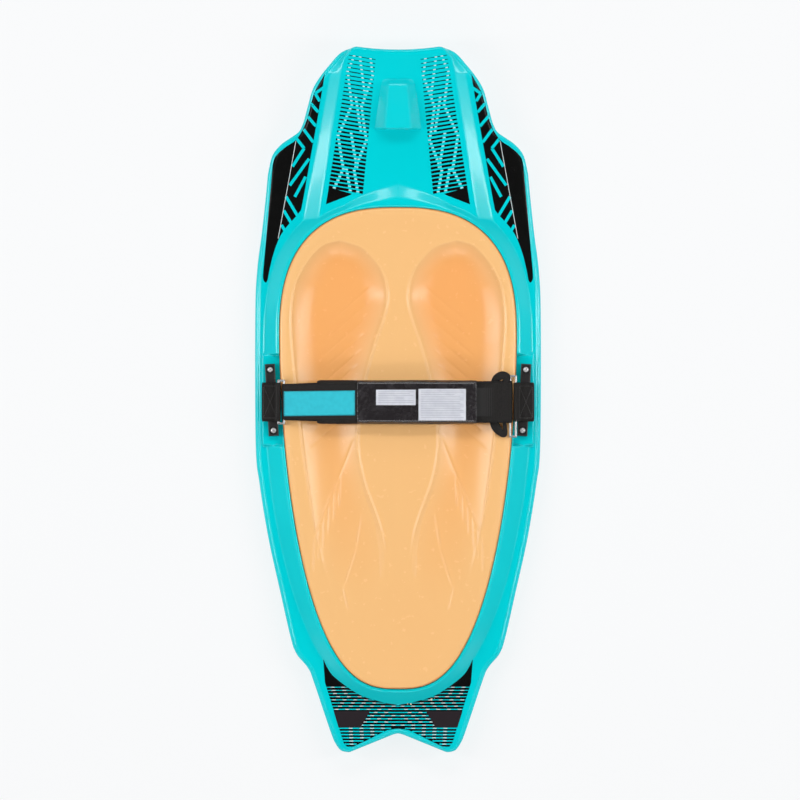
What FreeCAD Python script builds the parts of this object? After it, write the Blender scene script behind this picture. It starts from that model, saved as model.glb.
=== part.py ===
"""Kneeboard with a moulded tow hook, a recessed knee pad and a padded strap.

Axes: X to the right, Y towards the nose, Z up. The origin is under the middle of the board,
on the surface that it rests on. All lengths are in millimetres.
"""
import FreeCAD, Part
import math
import os

V = FreeCAD.Vector
Rotation = FreeCAD.Rotation

SIZES = {
    # Board: rocker, rail and skins
    "rocker_nose": 70.0,
    "rocker_tail": 26.0,
    "rocker_nose_from": 220.0,
    "rocker_tail_from": -320.0,
    "half_length": 620.0,
    "half_width": 251.5,
    "rail_top": 38.0,
    "rail_nose_loss": 8.0,
    "rail_tail_loss": 10.0,
    "parting_height": 22.0,
    "chine_from": 150.0,
    "chine_rise": 16.0,
    "flat_depth": 1.5,
    "skin": 4.0,
    "gap": 0.3,
    # Raised ring and nose plateau
    "ring_half_width": 234.0,
    "ring_front": 376.0,
    "ring_rear": -536.0,
    "ring_rise": 21.0,
    "ring_slope": 20.0,
    "plateau_rise": 15.0,
    "plateau_nose_loss": 8.0,
    "plateau_from": 230.0,
    "plateau_fade": 90.0,
    "plateau_corner_y": 574.0,
    "plateau_corner_half": 120.0,
    "plateau_flank": 14.0,
    # Pad and its tray
    "pad_half_width": 207.0,
    "pad_widest": 110.0,
    "pad_front": 337.0,
    "pad_rear": -506.0,
    "pad_gap": 2.0,
    "tray_floor": 34.0,
    "pad_rim": 61.0,
    "well_depth": 15.0,
    "well_middle_x": 95.0,
    "well_middle_y": 40.0,
    "well_half_width": 85.0,
    "well_half_length": 300.0,
    # Tow hook
    "hook_front": 564.0,
    "hook_rear": 475.0,
    "hook_front_half": 29.0,
    "hook_rear_half": 42.0,
    "hook_top_front_half": 15.0,
    "hook_top_rear_half": 23.6,
    "hook_top_front": 97.0,
    "hook_top_rear": 110.0,
    "hook_mouth_low": 79.0,
    "hook_mouth_high": 102.0,
    "hook_mouth_depth": 26.0,
    "hook_mouth_half": 22.0,
    "hook_foot_flare": 8.0,
    "hook_buried": 55.0,
    "hook_buried_rise": 18.0,
    # Fins under the tail
    "fin_offset": 92.0,
    "fin_width": 7.0,
    # Strap bars and their fasteners
    "bar_offset": 222.0,
    "bar_tilt": 3.2,
    "bar_length": 127.0,
    "bar_width": 17.6,
    "bar_foot": 22.0,
    "bar_top": 58.5,
    "bar_under": 53.0,
    "shelf_height": 47.0,
    "shelf_inner": 204.0,
    "shelf_outer": 237.0,
    "shelf_half_length": 80.0,
    "screw_half_pitch": 53.5,
    "screw_radius": 2.5,
    "screw_length": 22.0,
    "screw_head_radius": 5.2,
    "screw_head_height": 3.0,
    "recess_radius": 6.4,
    "recess_depth": 3.2,
    "insert_radius": 4.5,
    "insert_length": 14.0,
    "boss_radius": 9.0,
    "boss_below": 2.0,
    # Webbing, rings and strap layers
    "webbing": 2.2,
    "band_width": 69.0,
    "band_outer_x": 240.0,
    "band_play": 2.5,
    "band_reach": 5.0,
    "wire_radius": 2.0,
    "wire_play": 0.06,
    "ring_pitch": 10.0,
    "left_ring_x": 210.0,
    "left_ring_height": 71.0,
    "left_ring_half": 37.5,
    "right_ring_x": 207.0,
    "right_ring_height": 68.0,
    "right_ring_front": 42.0,
    "right_ring_back": -64.0,
    "arch_centre_x": 27.0,
    "arch_centre_z": -1419.24,
    "tail_arc": 1498.9,
    "loop_tape_thickness": 1.0,
    "hook_tape_thickness": 1.0,
    "pad_thickness": 6.0,
    "label_thickness": 0.8,
    "panel_thickness": 0.3,
    "strap_middle_y": -3.5,
    "strap_width": 66.0,
    "strap_pad_width": 76.0,
    "strap_left_x": -200.0,
    "strap_pad_left_x": -141.0,
    "strap_right_x": 135.0,
    "tail_right_x": 197.0,
    "tail_left_x": 60.0,
    "tail_width": 70.0,
    "tape_width": 50.0,
    "hook_tape_left_x": 55.0,
    "hook_tape_right_x": 130.0,
    "loop_tape_right_x": 170.0,
    "label_left_x": -196.0,
    "label_right_x": -75.0,
    "label_width": 44.0,
    "patch_left_x": -71.0,
    "patch_width": 65.0,
    "loop_x": 175.0,
    "loop_half_x": 14.0,
    "loop_half_y": 58.0,
    "loop_web": 8.0,
    "loop_low": 66.4,
    "plug_y": -300.0,
    "plug_radius": 14.0,
    "plug_flange": 4.0,
    "plug_stem": 13.0,
}

doc = FreeCAD.newDocument("kneeboard")
sheet = doc.addObject("Spreadsheet::Sheet", "sizes")
for row, (alias, value) in enumerate(SIZES.items(), start=1):
    sheet.set(f"A{row}", str(value))
    sheet.setAlias(f"A{row}", alias)
doc.recompute()


def size(alias):
    """A driving dimension, read from the sheet."""
    return float(sheet.get(alias))


# ---------------------------------------------------------------- shape of the board

def smooth(value):
    """0 below 0, 1 above 1, and a smooth step between."""
    part = min(max(value, 0.0), 1.0)
    return part * part * (3.0 - 2.0 * part)


def nose_share(y):
    """0 on the flat, 1 at the nose tip."""
    start = size("rocker_nose_from")
    return max(0.0, y - start) / (size("half_length") - start)


def tail_share(y):
    """0 on the flat, 1 at the tail tip."""
    start = size("rocker_tail_from")
    return max(0.0, start - y) / (size("half_length") + start)


def rocker(y):
    """Height of the keel line."""
    nose = size("rocker_nose") * nose_share(y) ** 2
    return nose + size("rocker_tail") * tail_share(y) ** 2


def rail(y):
    """Height of the deck along the rail."""
    loss = size("rail_nose_loss") * nose_share(y) ** 2
    return rocker(y) + size("rail_top") - loss - size("rail_tail_loss") * tail_share(y) ** 2


def hull_height(x, y):
    """Underside of the board: flat in the middle, turned up at the chines."""
    chine = max(0.0, abs(x) - size("chine_from")) / (size("half_width") - size("chine_from"))
    return rocker(y) + size("chine_rise") * chine ** 2 - size("flat_depth")


def egg_half_width(y, half, front, rear, front_power, rear_power, rear_root):
    """Half width at y of an egg whose widest place is pad_widest."""
    widest = size("pad_widest")
    if y >= widest:
        share = min(1.0, (y - widest) / (front - widest))
        return half * (1.0 - share ** front_power) ** (1.0 / front_power)
    share = min(1.0, (widest - y) / (widest - rear))
    return half * (1.0 - share ** rear_power) ** rear_root


def ring_half(y):
    """Half width of the raised ring's outer crease."""
    if not size("ring_rear") < y < size("ring_front"):
        return 0.0
    return egg_half_width(
        y, size("ring_half_width"), size("ring_front"), size("ring_rear"), 2.8, 2.2, 0.40
    )


def plateau_foot(y):
    """Half width of the nose plateau at the foot of its flank."""
    corner = size("plateau_corner_y")
    slope = -0.85 if y > corner else -0.18
    return size("plateau_corner_half") + slope * (y - corner)


def plateau_edge(y):
    """Half width of the nose plateau's flat top."""
    edge = size("plateau_corner_half") - 20.9 - 0.1665 * (y - size("plateau_corner_y"))
    return min(edge, plateau_foot(y) - size("plateau_flank"))


def deck_height(x, y):
    """Top of the board, without the pad tray, the hook and the strap shelves."""
    foot = plateau_foot(y)
    flank = smooth((foot - abs(x)) / (foot - plateau_edge(y)))
    fade = smooth((y - size("plateau_from")) / size("plateau_fade"))
    loss = size("plateau_nose_loss") * nose_share(y)
    plateau = (size("plateau_rise") - loss) * flank * fade
    half = ring_half(y)
    inside = (half - abs(x)) / size("ring_slope") if half > 0.0 else 0.0
    nearness = min(
        inside,
        (size("ring_front") - y) / size("ring_slope"),
        (y - size("ring_rear")) / size("ring_slope"),
    )
    ring = size("ring_rise") * smooth(nearness)
    return rail(y) + max(plateau, ring)


def tray_height(x, y):
    """Floor of the pad tray."""
    return rocker(y) + size("tray_floor")


def pad_height(x, y):
    """Top of the knee pad: a level rim and two wells for the knees."""
    along = (y - size("well_middle_y")) / size("well_half_length")
    across = (abs(x) - size("well_middle_x")) / size("well_half_width")
    along = max(0.0, 1.0 - along ** 2)
    across = max(0.0, 1.0 - across ** 2)
    return rocker(y) + size("pad_rim") - size("well_depth") * (along * across) ** 1.5


def height_face(height):
    """A smooth face at height(x, y), a little larger than the board."""
    margin = 14.0
    x_step = 12.0
    y_step = 16.0
    half_x = size("half_width") + margin
    half_y = size("half_length") + margin
    x_count = 2 * math.ceil(half_x / x_step) + 1
    y_count = 2 * math.ceil(half_y / y_step) + 1
    rows = []
    for i in range(x_count):
        x = half_x * (2.0 * i / (x_count - 1) - 1.0)
        row = []
        for j in range(y_count):
            y = half_y * (2.0 * j / (y_count - 1) - 1.0)
            row.append(V(x, y, height(x, y)))
        rows.append(row)
    surface = Part.BSplineSurface()
    surface.interpolate(rows)
    return surface.toShape()


REACH = V(0, 0, 300.0)


def above(height):
    return height_face(height).extrude(REACH)


def below(height):
    return height_face(height).extrude(-REACH)


def spline(points):
    curve = Part.BSplineCurve()
    curve.interpolate([V(x, y, 0) for x, y in points])
    return curve.toShape()


NOSE = [(74, 619.5), (100, 609), (120, 588), (137, 567), (150, 545), (159, 514), (166, 488)]
WING = [(166, 488), (174, 472), (189, 461), (206, 449), (221, 430), (229, 398)]
SIDE = [
    (229, 398), (233, 356), (240, 293), (248, 230), (251.5, 150), (250.8, -76), (243.6, -150),
    (228, -245), (207, -340), (192.6, -404), (184.7, -435),
]
STEP = [(184.7, -435), (177, -450), (163, -466), (155, -477.5)]
TAIL = [(155, -477.5), (144, -509), (130, -551), (115, -594), (108, -608)]
TIP = [(108, -608), (100, -617), (86, -620)]
NOTCH = [(86, -620), (7, -588)]
FIN_SIDE = [(-415, 4), (-560, 1), (-582, 21), (-500, 11.5)]


def outline(inset):
    """Plan view of the board, drawn in by about inset, as one closed wire."""
    scale_x = 1.0 - inset / size("half_width")
    scale_y = 1.0 - inset / size("half_length")

    def place(points, side):
        return [(side * x * scale_x, y * scale_y) for x, y in points]

    edges = []
    for side in (1, -1):
        for stretch in (NOSE, WING, SIDE, STEP, TAIL, TIP, NOTCH):
            edges.append(spline(place(stretch, side)))
    nose = [V(x * scale_x, y * scale_y, 0) for x, y in ((-74, 619.5), (0, 614), (74, 619.5))]
    notch = [V(x * scale_x, y * scale_y, 0) for x, y in ((-7, -588), (0, -586), (7, -588))]
    edges.append(Part.Arc(*nose).toShape())
    edges.append(Part.Arc(*notch).toShape())
    return Part.Wire(Part.__sortEdges__(edges))


def egg(grow):
    """Plan view of the pad, grown by grow, as one closed wire."""
    half = size("pad_half_width") + grow
    widest = size("pad_widest")
    front = size("pad_front") + grow - widest
    rear = widest - size("pad_rear") + grow
    points = []
    turns = 48
    for i in range(turns):
        angle = 2.0 * math.pi * i / turns
        across = math.cos(angle)
        along = math.sin(angle)
        if along >= 0.0:
            length = front
            power, root = 2.0 / 2.6, 2.0 / 2.6
        else:
            length = rear
            power, root = 2.0 / 1.8, 2.0 * 0.365
        x = math.copysign(half * abs(across) ** root, across)
        y = widest + math.copysign(length * abs(along) ** power, along)
        points.append(V(x, y, 0))
    curve = Part.BSplineCurve()
    curve.interpolate(Points=points, PeriodicFlag=True)
    return Part.Wire(curve.toShape())


def prism(wire):
    """A tall upright prism on a plan view wire."""
    low = -60.0
    face = Part.Face(wire)
    face.translate(V(0, 0, low))
    return face.extrude(V(0, 0, 260.0))


def solid_box(low, high):
    shape = Part.makeBox(high[0] - low[0], high[1] - low[1], high[2] - low[2])
    shape.translate(V(*low))
    return shape


def bar_turn(side):
    """Turn of a strap bar about Z; its front end leans outwards."""
    return -side * size("bar_tilt")


def screw_places(side):
    """Plan view places of the two screws of one bar."""
    turn = math.radians(bar_turn(side))
    pitch = size("screw_half_pitch")
    for end in (1, -1):
        x = side * size("bar_offset") - end * pitch * math.sin(turn)
        yield x, end * pitch * math.cos(turn)


def shelf_box(side, grow, low, high):
    """Upright box over a strap shelf, grown by grow in plan."""
    inner = side * (size("shelf_inner") - grow)
    outer = side * (size("shelf_outer") + grow)
    half = size("shelf_half_length") + grow
    return solid_box((min(inner, outer), -half, low), (max(inner, outer), half, high))


def hook_blank(grow):
    """Body of the tow hook: two trapezoids joined by straight faces."""
    def section(y, foot, top, low, high):
        corners = [V(-foot, y, low), V(foot, y, low), V(top, y, high), V(-top, y, high)]
        return Part.makePolygon(corners + corners[:1])

    flare = size("hook_foot_flare") + grow
    buried = size("hook_buried") - grow
    rear = section(
        size("hook_rear") - grow, size("hook_rear_half") + flare,
        size("hook_top_rear_half") + grow, buried, size("hook_top_rear") + grow,
    )
    front = section(
        size("hook_front") + grow, size("hook_front_half") + flare,
        size("hook_top_front_half") + grow, buried + size("hook_buried_rise"),
        size("hook_top_front") + grow,
    )
    return Part.makeLoft([rear, front], True, True)


def hook_mouth():
    """Rear-facing channel under the hook's lip, round at its front end."""
    low = size("hook_mouth_low")
    high = size("hook_mouth_high")
    radius = (high - low) / 2.0
    start = size("hook_rear") - 12.0
    end = size("hook_rear") + size("hook_mouth_depth") - radius
    reach = size("hook_mouth_half")
    slot = solid_box((-reach, start, low), (reach, end, high))
    round_end = Part.makeCylinder(radius, 2.0 * reach, V(-reach, end, low + radius), V(1, 0, 0))
    return slot.fuse(round_end)


def add_feature(name, shape):
    """Put a shape that was made here into the document."""
    feature = doc.addObject("Part::Feature", name)
    feature.Shape = shape
    return feature


def make_shells():
    """Deck skin, hull skin and foam core, with a parting line round the rail."""
    skin = size("skin")
    gap = size("gap")
    parting = size("parting_height")
    tray_wall = size("pad_gap") + skin
    whole = prism(outline(0.0))
    hull_skin = skin + 1.0
    inner = prism(outline(hull_skin))
    core_plan = prism(outline(hull_skin + gap))
    shelf_floor = size("shelf_height") - skin
    boss_low = size("shelf_height") - size("insert_length") - size("boss_below")

    deck = whole.common(below(deck_height)).common(above(lambda x, y: rocker(y) + parting))
    hook = hook_blank(0.0)
    hollow = inner.common(below(lambda x, y: deck_height(x, y) - skin))
    tray_block = prism(egg(tray_wall)).common(above(lambda x, y: tray_height(x, y) - skin))
    solid_places = [tray_block]
    for side in (1, -1):
        solid_places.append(shelf_box(side, 0.0, shelf_floor, 120.0))
        for x, y in screw_places(side):
            boss = Part.makeCylinder(size("boss_radius"), 40.0, V(x, y, boss_low))
            solid_places.append(boss)
    hollow = hollow.cut(solid_places)
    deck = deck.cut(hollow)
    shelves = [shelf_box(side, 0.0, shelf_floor, size("shelf_height")) for side in (1, -1)]
    deck = deck.fuse(shelves + [hook])
    cuts = [prism(egg(size("pad_gap"))).common(above(tray_height)), hook_mouth()]
    for side in (1, -1):
        cuts.append(shelf_box(side, 0.01, size("shelf_height"), 120.0))
        for x, y in screw_places(side):
            depth = size("insert_length") + 0.5
            foot = V(x, y, size("shelf_height") - depth)
            cuts.append(Part.makeCylinder(size("insert_radius") + 0.02, depth + 1.0, foot))
    plug_floor = tray_height(0.0, size("plug_y"))
    plug_foot = V(0, size("plug_y"), plug_floor - 20.0)
    cuts.append(Part.makeCylinder(size("plug_radius") + 0.1, 40.0, plug_foot))
    recess_foot = V(0, size("plug_y"), plug_floor - 1.8)
    recess_radius = size("plug_radius") + size("plug_flange") + 0.2
    cuts.append(Part.makeCylinder(recess_radius, 20.0, recess_foot))
    deck = deck.cut(cuts)

    hull = whole.common(above(hull_height))
    hull = hull.common(below(lambda x, y: rocker(y) + parting - gap))
    hull = hull.cut(inner.common(above(lambda x, y: hull_height(x, y) + hull_skin)))
    corners = [V(0, y, z) for y, z in FIN_SIDE]
    profile = Part.Face(Part.makePolygon(corners + corners[:1]))
    fins = []
    for side in (1, -1):
        fin = profile.extrude(V(size("fin_width"), 0, 0))
        fin.translate(V(side * size("fin_offset") - size("fin_width") / 2.0, 0, 0))
        fins.append(fin)
    hull = hull.fuse(fins)
    hull = hull.cut(solid_box((-300, -700, -40), (300, 700, 0)))

    core = core_plan.common(below(lambda x, y: deck_height(x, y) - skin - gap))
    core = core.common(above(lambda x, y: hull_height(x, y) + hull_skin + gap))
    core_cuts = [prism(egg(tray_wall + gap)).common(
        above(lambda x, y: tray_height(x, y) - skin - gap)
    )]
    for side in (1, -1):
        core_cuts.append(shelf_box(side, gap, shelf_floor - gap, 120.0))
        for x, y in screw_places(side):
            boss_foot = V(x, y, boss_low - gap)
            core_cuts.append(Part.makeCylinder(size("boss_radius") + gap, 80.0, boss_foot))
    core_cuts.append(Part.makeCylinder(size("plug_radius") + 0.5, 60.0, plug_foot + V(0, 0, 4)))
    core_cuts.append(hook_blank(gap))
    core = core.cut(core_cuts)
    return deck, hull, core


def make_pad():
    """Egg-shaped foam pad that fills the tray."""
    pad = prism(egg(0.0)).common(above(lambda x, y: tray_height(x, y) + size("gap")))
    return pad.common(below(pad_height))


deck_shape, hull_shape, core_shape = make_shells()
NODES = {
    "deck_shell": add_feature("deck_shell", deck_shape),
    "hull_shell": add_feature("hull_shell", hull_shape),
    "foam_core": add_feature("foam_core", core_shape),
    "knee_pad": add_feature("knee_pad", make_pad()),
}


# ---------------------------------------------------------------- bound primitives

def in_sizes(text):
    """An expression, with each word that the sheet knows read from the sheet."""
    words = text.replace("(", " ( ").replace(")", " ) ").split()
    return " ".join(f"sizes.{word}" if word in SIZES else word for word in words)


def box(low, high):
    """A box between two corners, whose coordinates are expressions."""
    obj = doc.addObject("Part::Box", "Box")
    for side, axis, start, end in zip(("Length", "Width", "Height"), "xyz", low, high):
        obj.setExpression(side, in_sizes(f"( {end} ) - ( {start} )"))
        obj.setExpression(f".Placement.Base.{axis}", in_sizes(start))
    return obj


TURNS = {
    "x": Rotation(V(0, 1, 0), 90),
    "y": Rotation(V(1, 0, 0), -90),
    "z": Rotation(),
}


def rod(direction, start, length, radius):
    """A cylinder that runs from start along one axis."""
    obj = doc.addObject("Part::Cylinder", "Rod")
    obj.Placement = FreeCAD.Placement(V(), TURNS[direction])
    obj.setExpression("Radius", in_sizes(radius))
    obj.setExpression("Height", in_sizes(length))
    for axis, place in zip("xyz", start):
        obj.setExpression(f".Placement.Base.{axis}", in_sizes(place))
    return obj


def cut(base, *tools):
    for tool in tools:
        result = doc.addObject("Part::Cut", "Cut")
        result.Base = base
        result.Tool = tool
        base = result
    return base


def fuse(*shapes):
    result = doc.addObject("Part::MultiFuse", "Fuse")
    result.Shapes = list(shapes)
    return result


def common(*shapes):
    result = doc.addObject("Part::MultiCommon", "Common")
    result.Shapes = list(shapes)
    return result


def node(name, obj):
    obj.Label = name
    NODES[name] = obj
    return obj


def name_of(side):
    return "right" if side > 0 else "left"


# ---------------------------------------------------------------- strap bars

def make_bar(side):
    """Bridge bar: a foot at each end, a gap under its middle for the band."""
    body = doc.addObject("PartDesign::Body", f"{name_of(side)}_bar_body")
    planes = {plane.Role: plane for plane in body.Origin.OriginFeatures}
    sketch = body.newObject("Sketcher::SketchObject", "Profile")
    sketch.AttachmentSupport = [(planes["YZ_Plane"], "")]
    sketch.MapMode = "FlatFace"
    half = size("bar_length") / 2.0
    foot = half - size("bar_foot")
    low = size("shelf_height") + 0.05
    under = size("bar_under")
    top = size("bar_top")
    corners = [
        (-half, low), (-foot, low), (-foot, under), (foot, under),
        (foot, low), (half, low), (half, top), (-half, top),
    ]
    for start, end in zip(corners, corners[1:] + corners[:1]):
        sketch.addGeometry(Part.LineSegment(V(*start, 0), V(*end, 0)), False)
    pad = body.newObject("PartDesign::Pad", "Pad")
    pad.Profile = sketch
    pad.Midplane = True
    pad.setExpression("Length", in_sizes("bar_width"))
    doc.recompute()
    top_edges = []
    for index, edge in enumerate(pad.Shape.Edges, start=1):
        if all(abs(vertex.Z - top) < 0.01 for vertex in edge.Vertexes):
            top_edges.append(f"Edge{index}")
    rounded = body.newObject("PartDesign::Fillet", "Rounded")
    rounded.Base = (pad, top_edges)
    rounded.Radius = 2.0
    doc.recompute()
    tools = []
    for end in ("+", "-"):
        place = ("0", f"0 {end} screw_half_pitch")
        tools.append(rod("z", (*place, "shelf_height - 2"), "40", "screw_radius + 0.3"))
        tools.append(rod("z", (*place, "bar_top - recess_depth"), "20", "recess_radius"))
    bar = cut(body, *tools)
    bar.Placement = FreeCAD.Placement(V(), Rotation(V(0, 0, 1), bar_turn(side)))
    bar.setExpression(".Placement.Base.x", in_sizes(f"{side} * bar_offset"))
    node(f"{name_of(side)}_anchor_bar", bar)


def make_screw(x, y):
    """Pan head screw with a cross recess."""
    seat = size("bar_top") - size("recess_depth")
    shank = rod("z", (str(x), str(y), f"{seat + 0.05} - screw_length"), "screw_length", "screw_radius")
    head = rod("z", (str(x), str(y), str(seat + 0.05)), "screw_head_height", "screw_head_radius")
    blank = fuse(shank, head)
    slots = []
    for across, along in ((3.4, 0.6), (0.6, 3.4)):
        low = (f"{x} - {across}", f"{y} - {along}", f"{seat} + screw_head_height - 1.6")
        high = (f"{x} + {across}", f"{y} + {along}", f"{seat} + screw_head_height + 2")
        slots.append(box(low, high))
    return cut(blank, *slots)


def make_insert(x, y):
    """Metal bush moulded into the deck."""
    low = "shelf_height - insert_length"
    outside = rod("z", (str(x), str(y), low), "insert_length", "insert_radius")
    bore = rod("z", (str(x), str(y), f"{low} - 1"), "insert_length + 2", "screw_radius + 0.05")
    return cut(outside, bore)


def make_fasteners(side):
    screws = []
    inserts = []
    for x, y in screw_places(side):
        screws.append(make_screw(x, y))
        inserts.append(make_insert(x, y))
    for name, pieces in (("anchor_screws", screws), ("threaded_inserts", inserts)):
        group = doc.addObject("Part::Compound", "Group")
        group.Links = pieces
        node(f"{name_of(side)}_{name}", group)


# ---------------------------------------------------------------- bands and rings

def make_band(side, ring_x, ring_height):
    """Closed webbing band round the bar, sewn together and folded round the ring."""
    half = "band_width / 2"
    middle = "strap_middle_y"
    start = f"{middle} - {half}"

    def across(inner, outer, low, high, length_grow="0"):
        near, far = (inner, outer) if side > 0 else (f"0 - ( {outer} )", f"0 - ( {inner} )")
        return box(
            (near, f"{start} - {length_grow}", low),
            (far, f"{middle} + {half} + {length_grow}", high),
        )

    radius = "( bar_top - bar_under ) / 2 + band_play"
    centre = "( bar_top + bar_under ) / 2"
    low, high = f"{centre} - ( {radius} )", f"{centre} + {radius}"
    fold_x = f"band_outer_x - ( {radius} )"
    loop_inner = "bar_offset - bar_width / 2 - band_reach"
    outside = fuse(
        across(loop_inner, fold_x, low, high),
        rod("y", (f"{side} * ( {fold_x} )", start, centre), "band_width", radius),
    )
    hole_radius = f"{radius} - webbing"
    hole_inner = "bar_offset - bar_width / 2 - band_play"
    hole = fuse(
        across(hole_inner, fold_x, f"{centre} - ( {hole_radius} )", f"{centre} + {hole_radius}", "1"),
        rod("y", (f"{side} * ( {fold_x} )", f"{start} - 1", centre), "band_width + 2", hole_radius),
    )
    fold = rod("y", (f"{side} * {ring_x}", start, ring_height), "band_width", "wire_radius + webbing")
    bore = rod(
        "y", (f"{side} * {ring_x}", f"{start} - 1", ring_height),
        "band_width + 2", "wire_radius + wire_play",
    )
    inner_x = size("bar_offset") - (size("bar_width") + size("band_reach") + size("band_play")) / 2.0
    mid_z = (size("bar_top") + size("bar_under")) / 2.0
    rise = size(ring_height) - mid_z
    run = size(ring_x) - inner_x
    length = math.hypot(rise, run)
    neck = doc.addObject("Part::Box", "Neck")
    neck.setExpression("Width", in_sizes("band_width"))
    neck.setExpression("Height", in_sizes("webbing * 2"))
    neck.Length = length
    turn = Rotation(V(0, 1, 0), math.degrees(math.atan2(-rise, side * run)))
    foot = V(side * inner_x, size("strap_middle_y") - size("band_width") / 2.0, mid_z)
    neck.Placement = FreeCAD.Placement(foot - turn.multVec(V(0, 0, size("webbing"))), turn)
    node(f"{name_of(side)}_anchor_band", cut(fuse(outside, neck, fold), hole, bore))


def make_ring(name, side, ring_x, height, back, front):
    """Rectangular ring of round wire: two long bars along Y and two short ones."""
    outer = f"{side} * {ring_x}"
    inner = f"{side} * ( {ring_x} - ring_pitch )"
    length = f"( {front} ) - ( {back} )"
    pieces = [rod("y", (x, back, height), length, "wire_radius") for x in (outer, inner)]
    low_x = inner if side > 0 else outer
    pieces += [rod("x", (low_x, y, height), "ring_pitch", "wire_radius") for y in (back, front)]
    for x in (outer, inner):
        for y in (back, front):
            ball = doc.addObject("Part::Sphere", "Corner")
            ball.setExpression("Radius", in_sizes("wire_radius"))
            for axis, place in zip("xyz", (x, y, height)):
                ball.setExpression(f".Placement.Base.{axis}", in_sizes(place))
            pieces.append(ball)
    node(name, fuse(*pieces))


# ---------------------------------------------------------------- strap

LOOP_LOW = "tail_arc + webbing"
HOOK_LOW = f"{LOOP_LOW} + loop_tape_thickness + gap"
PAD_LOW = f"{HOOK_LOW} + hook_tape_thickness"
WEB_LOW = f"{PAD_LOW} + pad_thickness"
LABEL_LOW = f"{WEB_LOW} + webbing"
PANEL_LOW = f"{LABEL_LOW} + label_thickness"

# left end, right end, width and middle of each printed panel
PANELS = [("-39", "30", "28", "4"), ("34", "118", "56", "strap_middle_y - 4")]


def arc_layer(inner, thickness, left, right, width, middle="strap_middle_y"):
    """Part of a large tube about a Y axis: one arched layer of the strap."""
    start = ("arch_centre_x", "-200", "arch_centre_z")
    tube = cut(
        rod("y", start, "400", f"{inner} + {thickness}"),
        rod("y", start, "400", inner),
    )
    low = (left, f"{middle} - ( {width} ) / 2", "40")
    high = (right, f"{middle} + ( {width} ) / 2", "140")
    return common(tube, box(low, high))


def fold(x, height, width):
    """Webbing folded round a ring bar."""
    start = f"strap_middle_y - {width} / 2"
    return rod("y", (x, start, height), width, "wire_radius + webbing")


def fold_bore(x, height, width):
    start = f"strap_middle_y - {width} / 2 - 1"
    return rod("y", (x, start, height), f"{width} + 2", "wire_radius + wire_play")


def make_strap():
    """Padded half of the strap, hinged on the left ring."""
    left_x = "strap_left_x"
    web = fuse(
        arc_layer(WEB_LOW, "webbing", left_x, "strap_right_x", "strap_width"),
        fold(left_x, "left_ring_height", "strap_width"),
    )
    node("strap_webbing", cut(web, fold_bore(left_x, "left_ring_height", "strap_width")))
    pad = arc_layer(PAD_LOW, "pad_thickness", "strap_pad_left_x", "strap_right_x", "strap_pad_width")
    node("strap_pad", pad)
    tape = arc_layer(
        HOOK_LOW, "hook_tape_thickness", "hook_tape_left_x", "hook_tape_right_x", "tape_width"
    )
    node("hook_tape", tape)
    label = arc_layer(LABEL_LOW, "label_thickness", "label_left_x", "label_right_x", "label_width")
    node("strap_label", label)
    patch = arc_layer(LABEL_LOW, "label_thickness", "patch_left_x", "strap_right_x", "patch_width")
    node("vinyl_patch", patch)
    panels = doc.addObject("Part::Compound", "Group")
    panels.Links = [arc_layer(PANEL_LOW, "panel_thickness", *place) for place in PANELS]
    node("info_panels", panels)


def make_tail():
    """Webbing tail, hinged on the right ring, with its loop tape and pull loop."""
    right_x = "tail_right_x"
    web = fuse(
        arc_layer("tail_arc", "webbing", "tail_left_x", right_x, "tail_width"),
        fold(right_x, "right_ring_height", "tail_width"),
    )
    node("right_tail_webbing", cut(web, fold_bore(right_x, "right_ring_height", "tail_width")))
    tape = arc_layer(
        LOOP_LOW, "loop_tape_thickness", "tail_left_x", "loop_tape_right_x", "tape_width"
    )
    node("loop_tape", tape)
    rings = []
    for shrink in (0.0, size("loop_web")):
        ellipse = Part.Ellipse(V(), size("loop_half_y") - shrink, size("loop_half_x") - shrink)
        plate = Part.Face(Part.Wire(ellipse.toShape())).extrude(V(0, 0, size("webbing")))
        plate.rotate(V(), V(0, 0, 1), 90)
        rings.append(plate)
    loop = rings[0].cut(rings[1])
    loop.translate(V(size("loop_x"), 2.0 * size("strap_middle_y"), size("loop_low")))
    node("pull_loop", add_feature("pull_loop", loop))


def make_plug():
    """Flanged plug in the filling hole, under the pad."""
    floor = tray_height(0.0, size("plug_y"))
    stem = rod("z", ("0", "plug_y", f"{floor} - 1 - plug_stem"), "plug_stem", "plug_radius - 0.1")
    flange = rod("z", ("0", "plug_y", f"{floor} - 1.7"), "1.6", "plug_radius + plug_flange")
    node("fill_plug", fuse(stem, flange))


for board_side in (-1, 1):
    make_bar(board_side)
    make_fasteners(board_side)
make_band(-1, "left_ring_x", "left_ring_height")
make_band(1, "right_ring_x", "right_ring_height")
make_ring(
    "left_ring", -1, "left_ring_x", "left_ring_height",
    "strap_middle_y - left_ring_half", "strap_middle_y + left_ring_half",
)
make_ring(
    "right_ring", 1, "right_ring_x", "right_ring_height", "right_ring_back", "right_ring_front"
)
make_strap()
make_tail()
make_plug()
doc.recompute()


# ---------------------------------------------------------------- checks and files

def check_document():
    """Stop on any failed object or bad shape."""
    for obj in doc.Objects:
        if "Invalid" in obj.State or "Error" in obj.State:
            raise RuntimeError(f"{obj.Label} failed: {obj.State}")
    for name, obj in NODES.items():
        if obj.Shape.isNull() or not obj.Shape.isValid():
            raise RuntimeError(f"{name} has a bad shape")
        bounds = obj.Shape.BoundBox
        print(
            f"{name:24s} solids {len(obj.Shape.Solids)} volume {obj.Shape.Volume / 1000:9.1f} cm3"
            f"  x {bounds.XMin:7.1f} {bounds.XMax:7.1f}  y {bounds.YMin:7.1f} {bounds.YMax:7.1f}"
            f"  z {bounds.ZMin:6.1f} {bounds.ZMax:6.1f}"
        )


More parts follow.
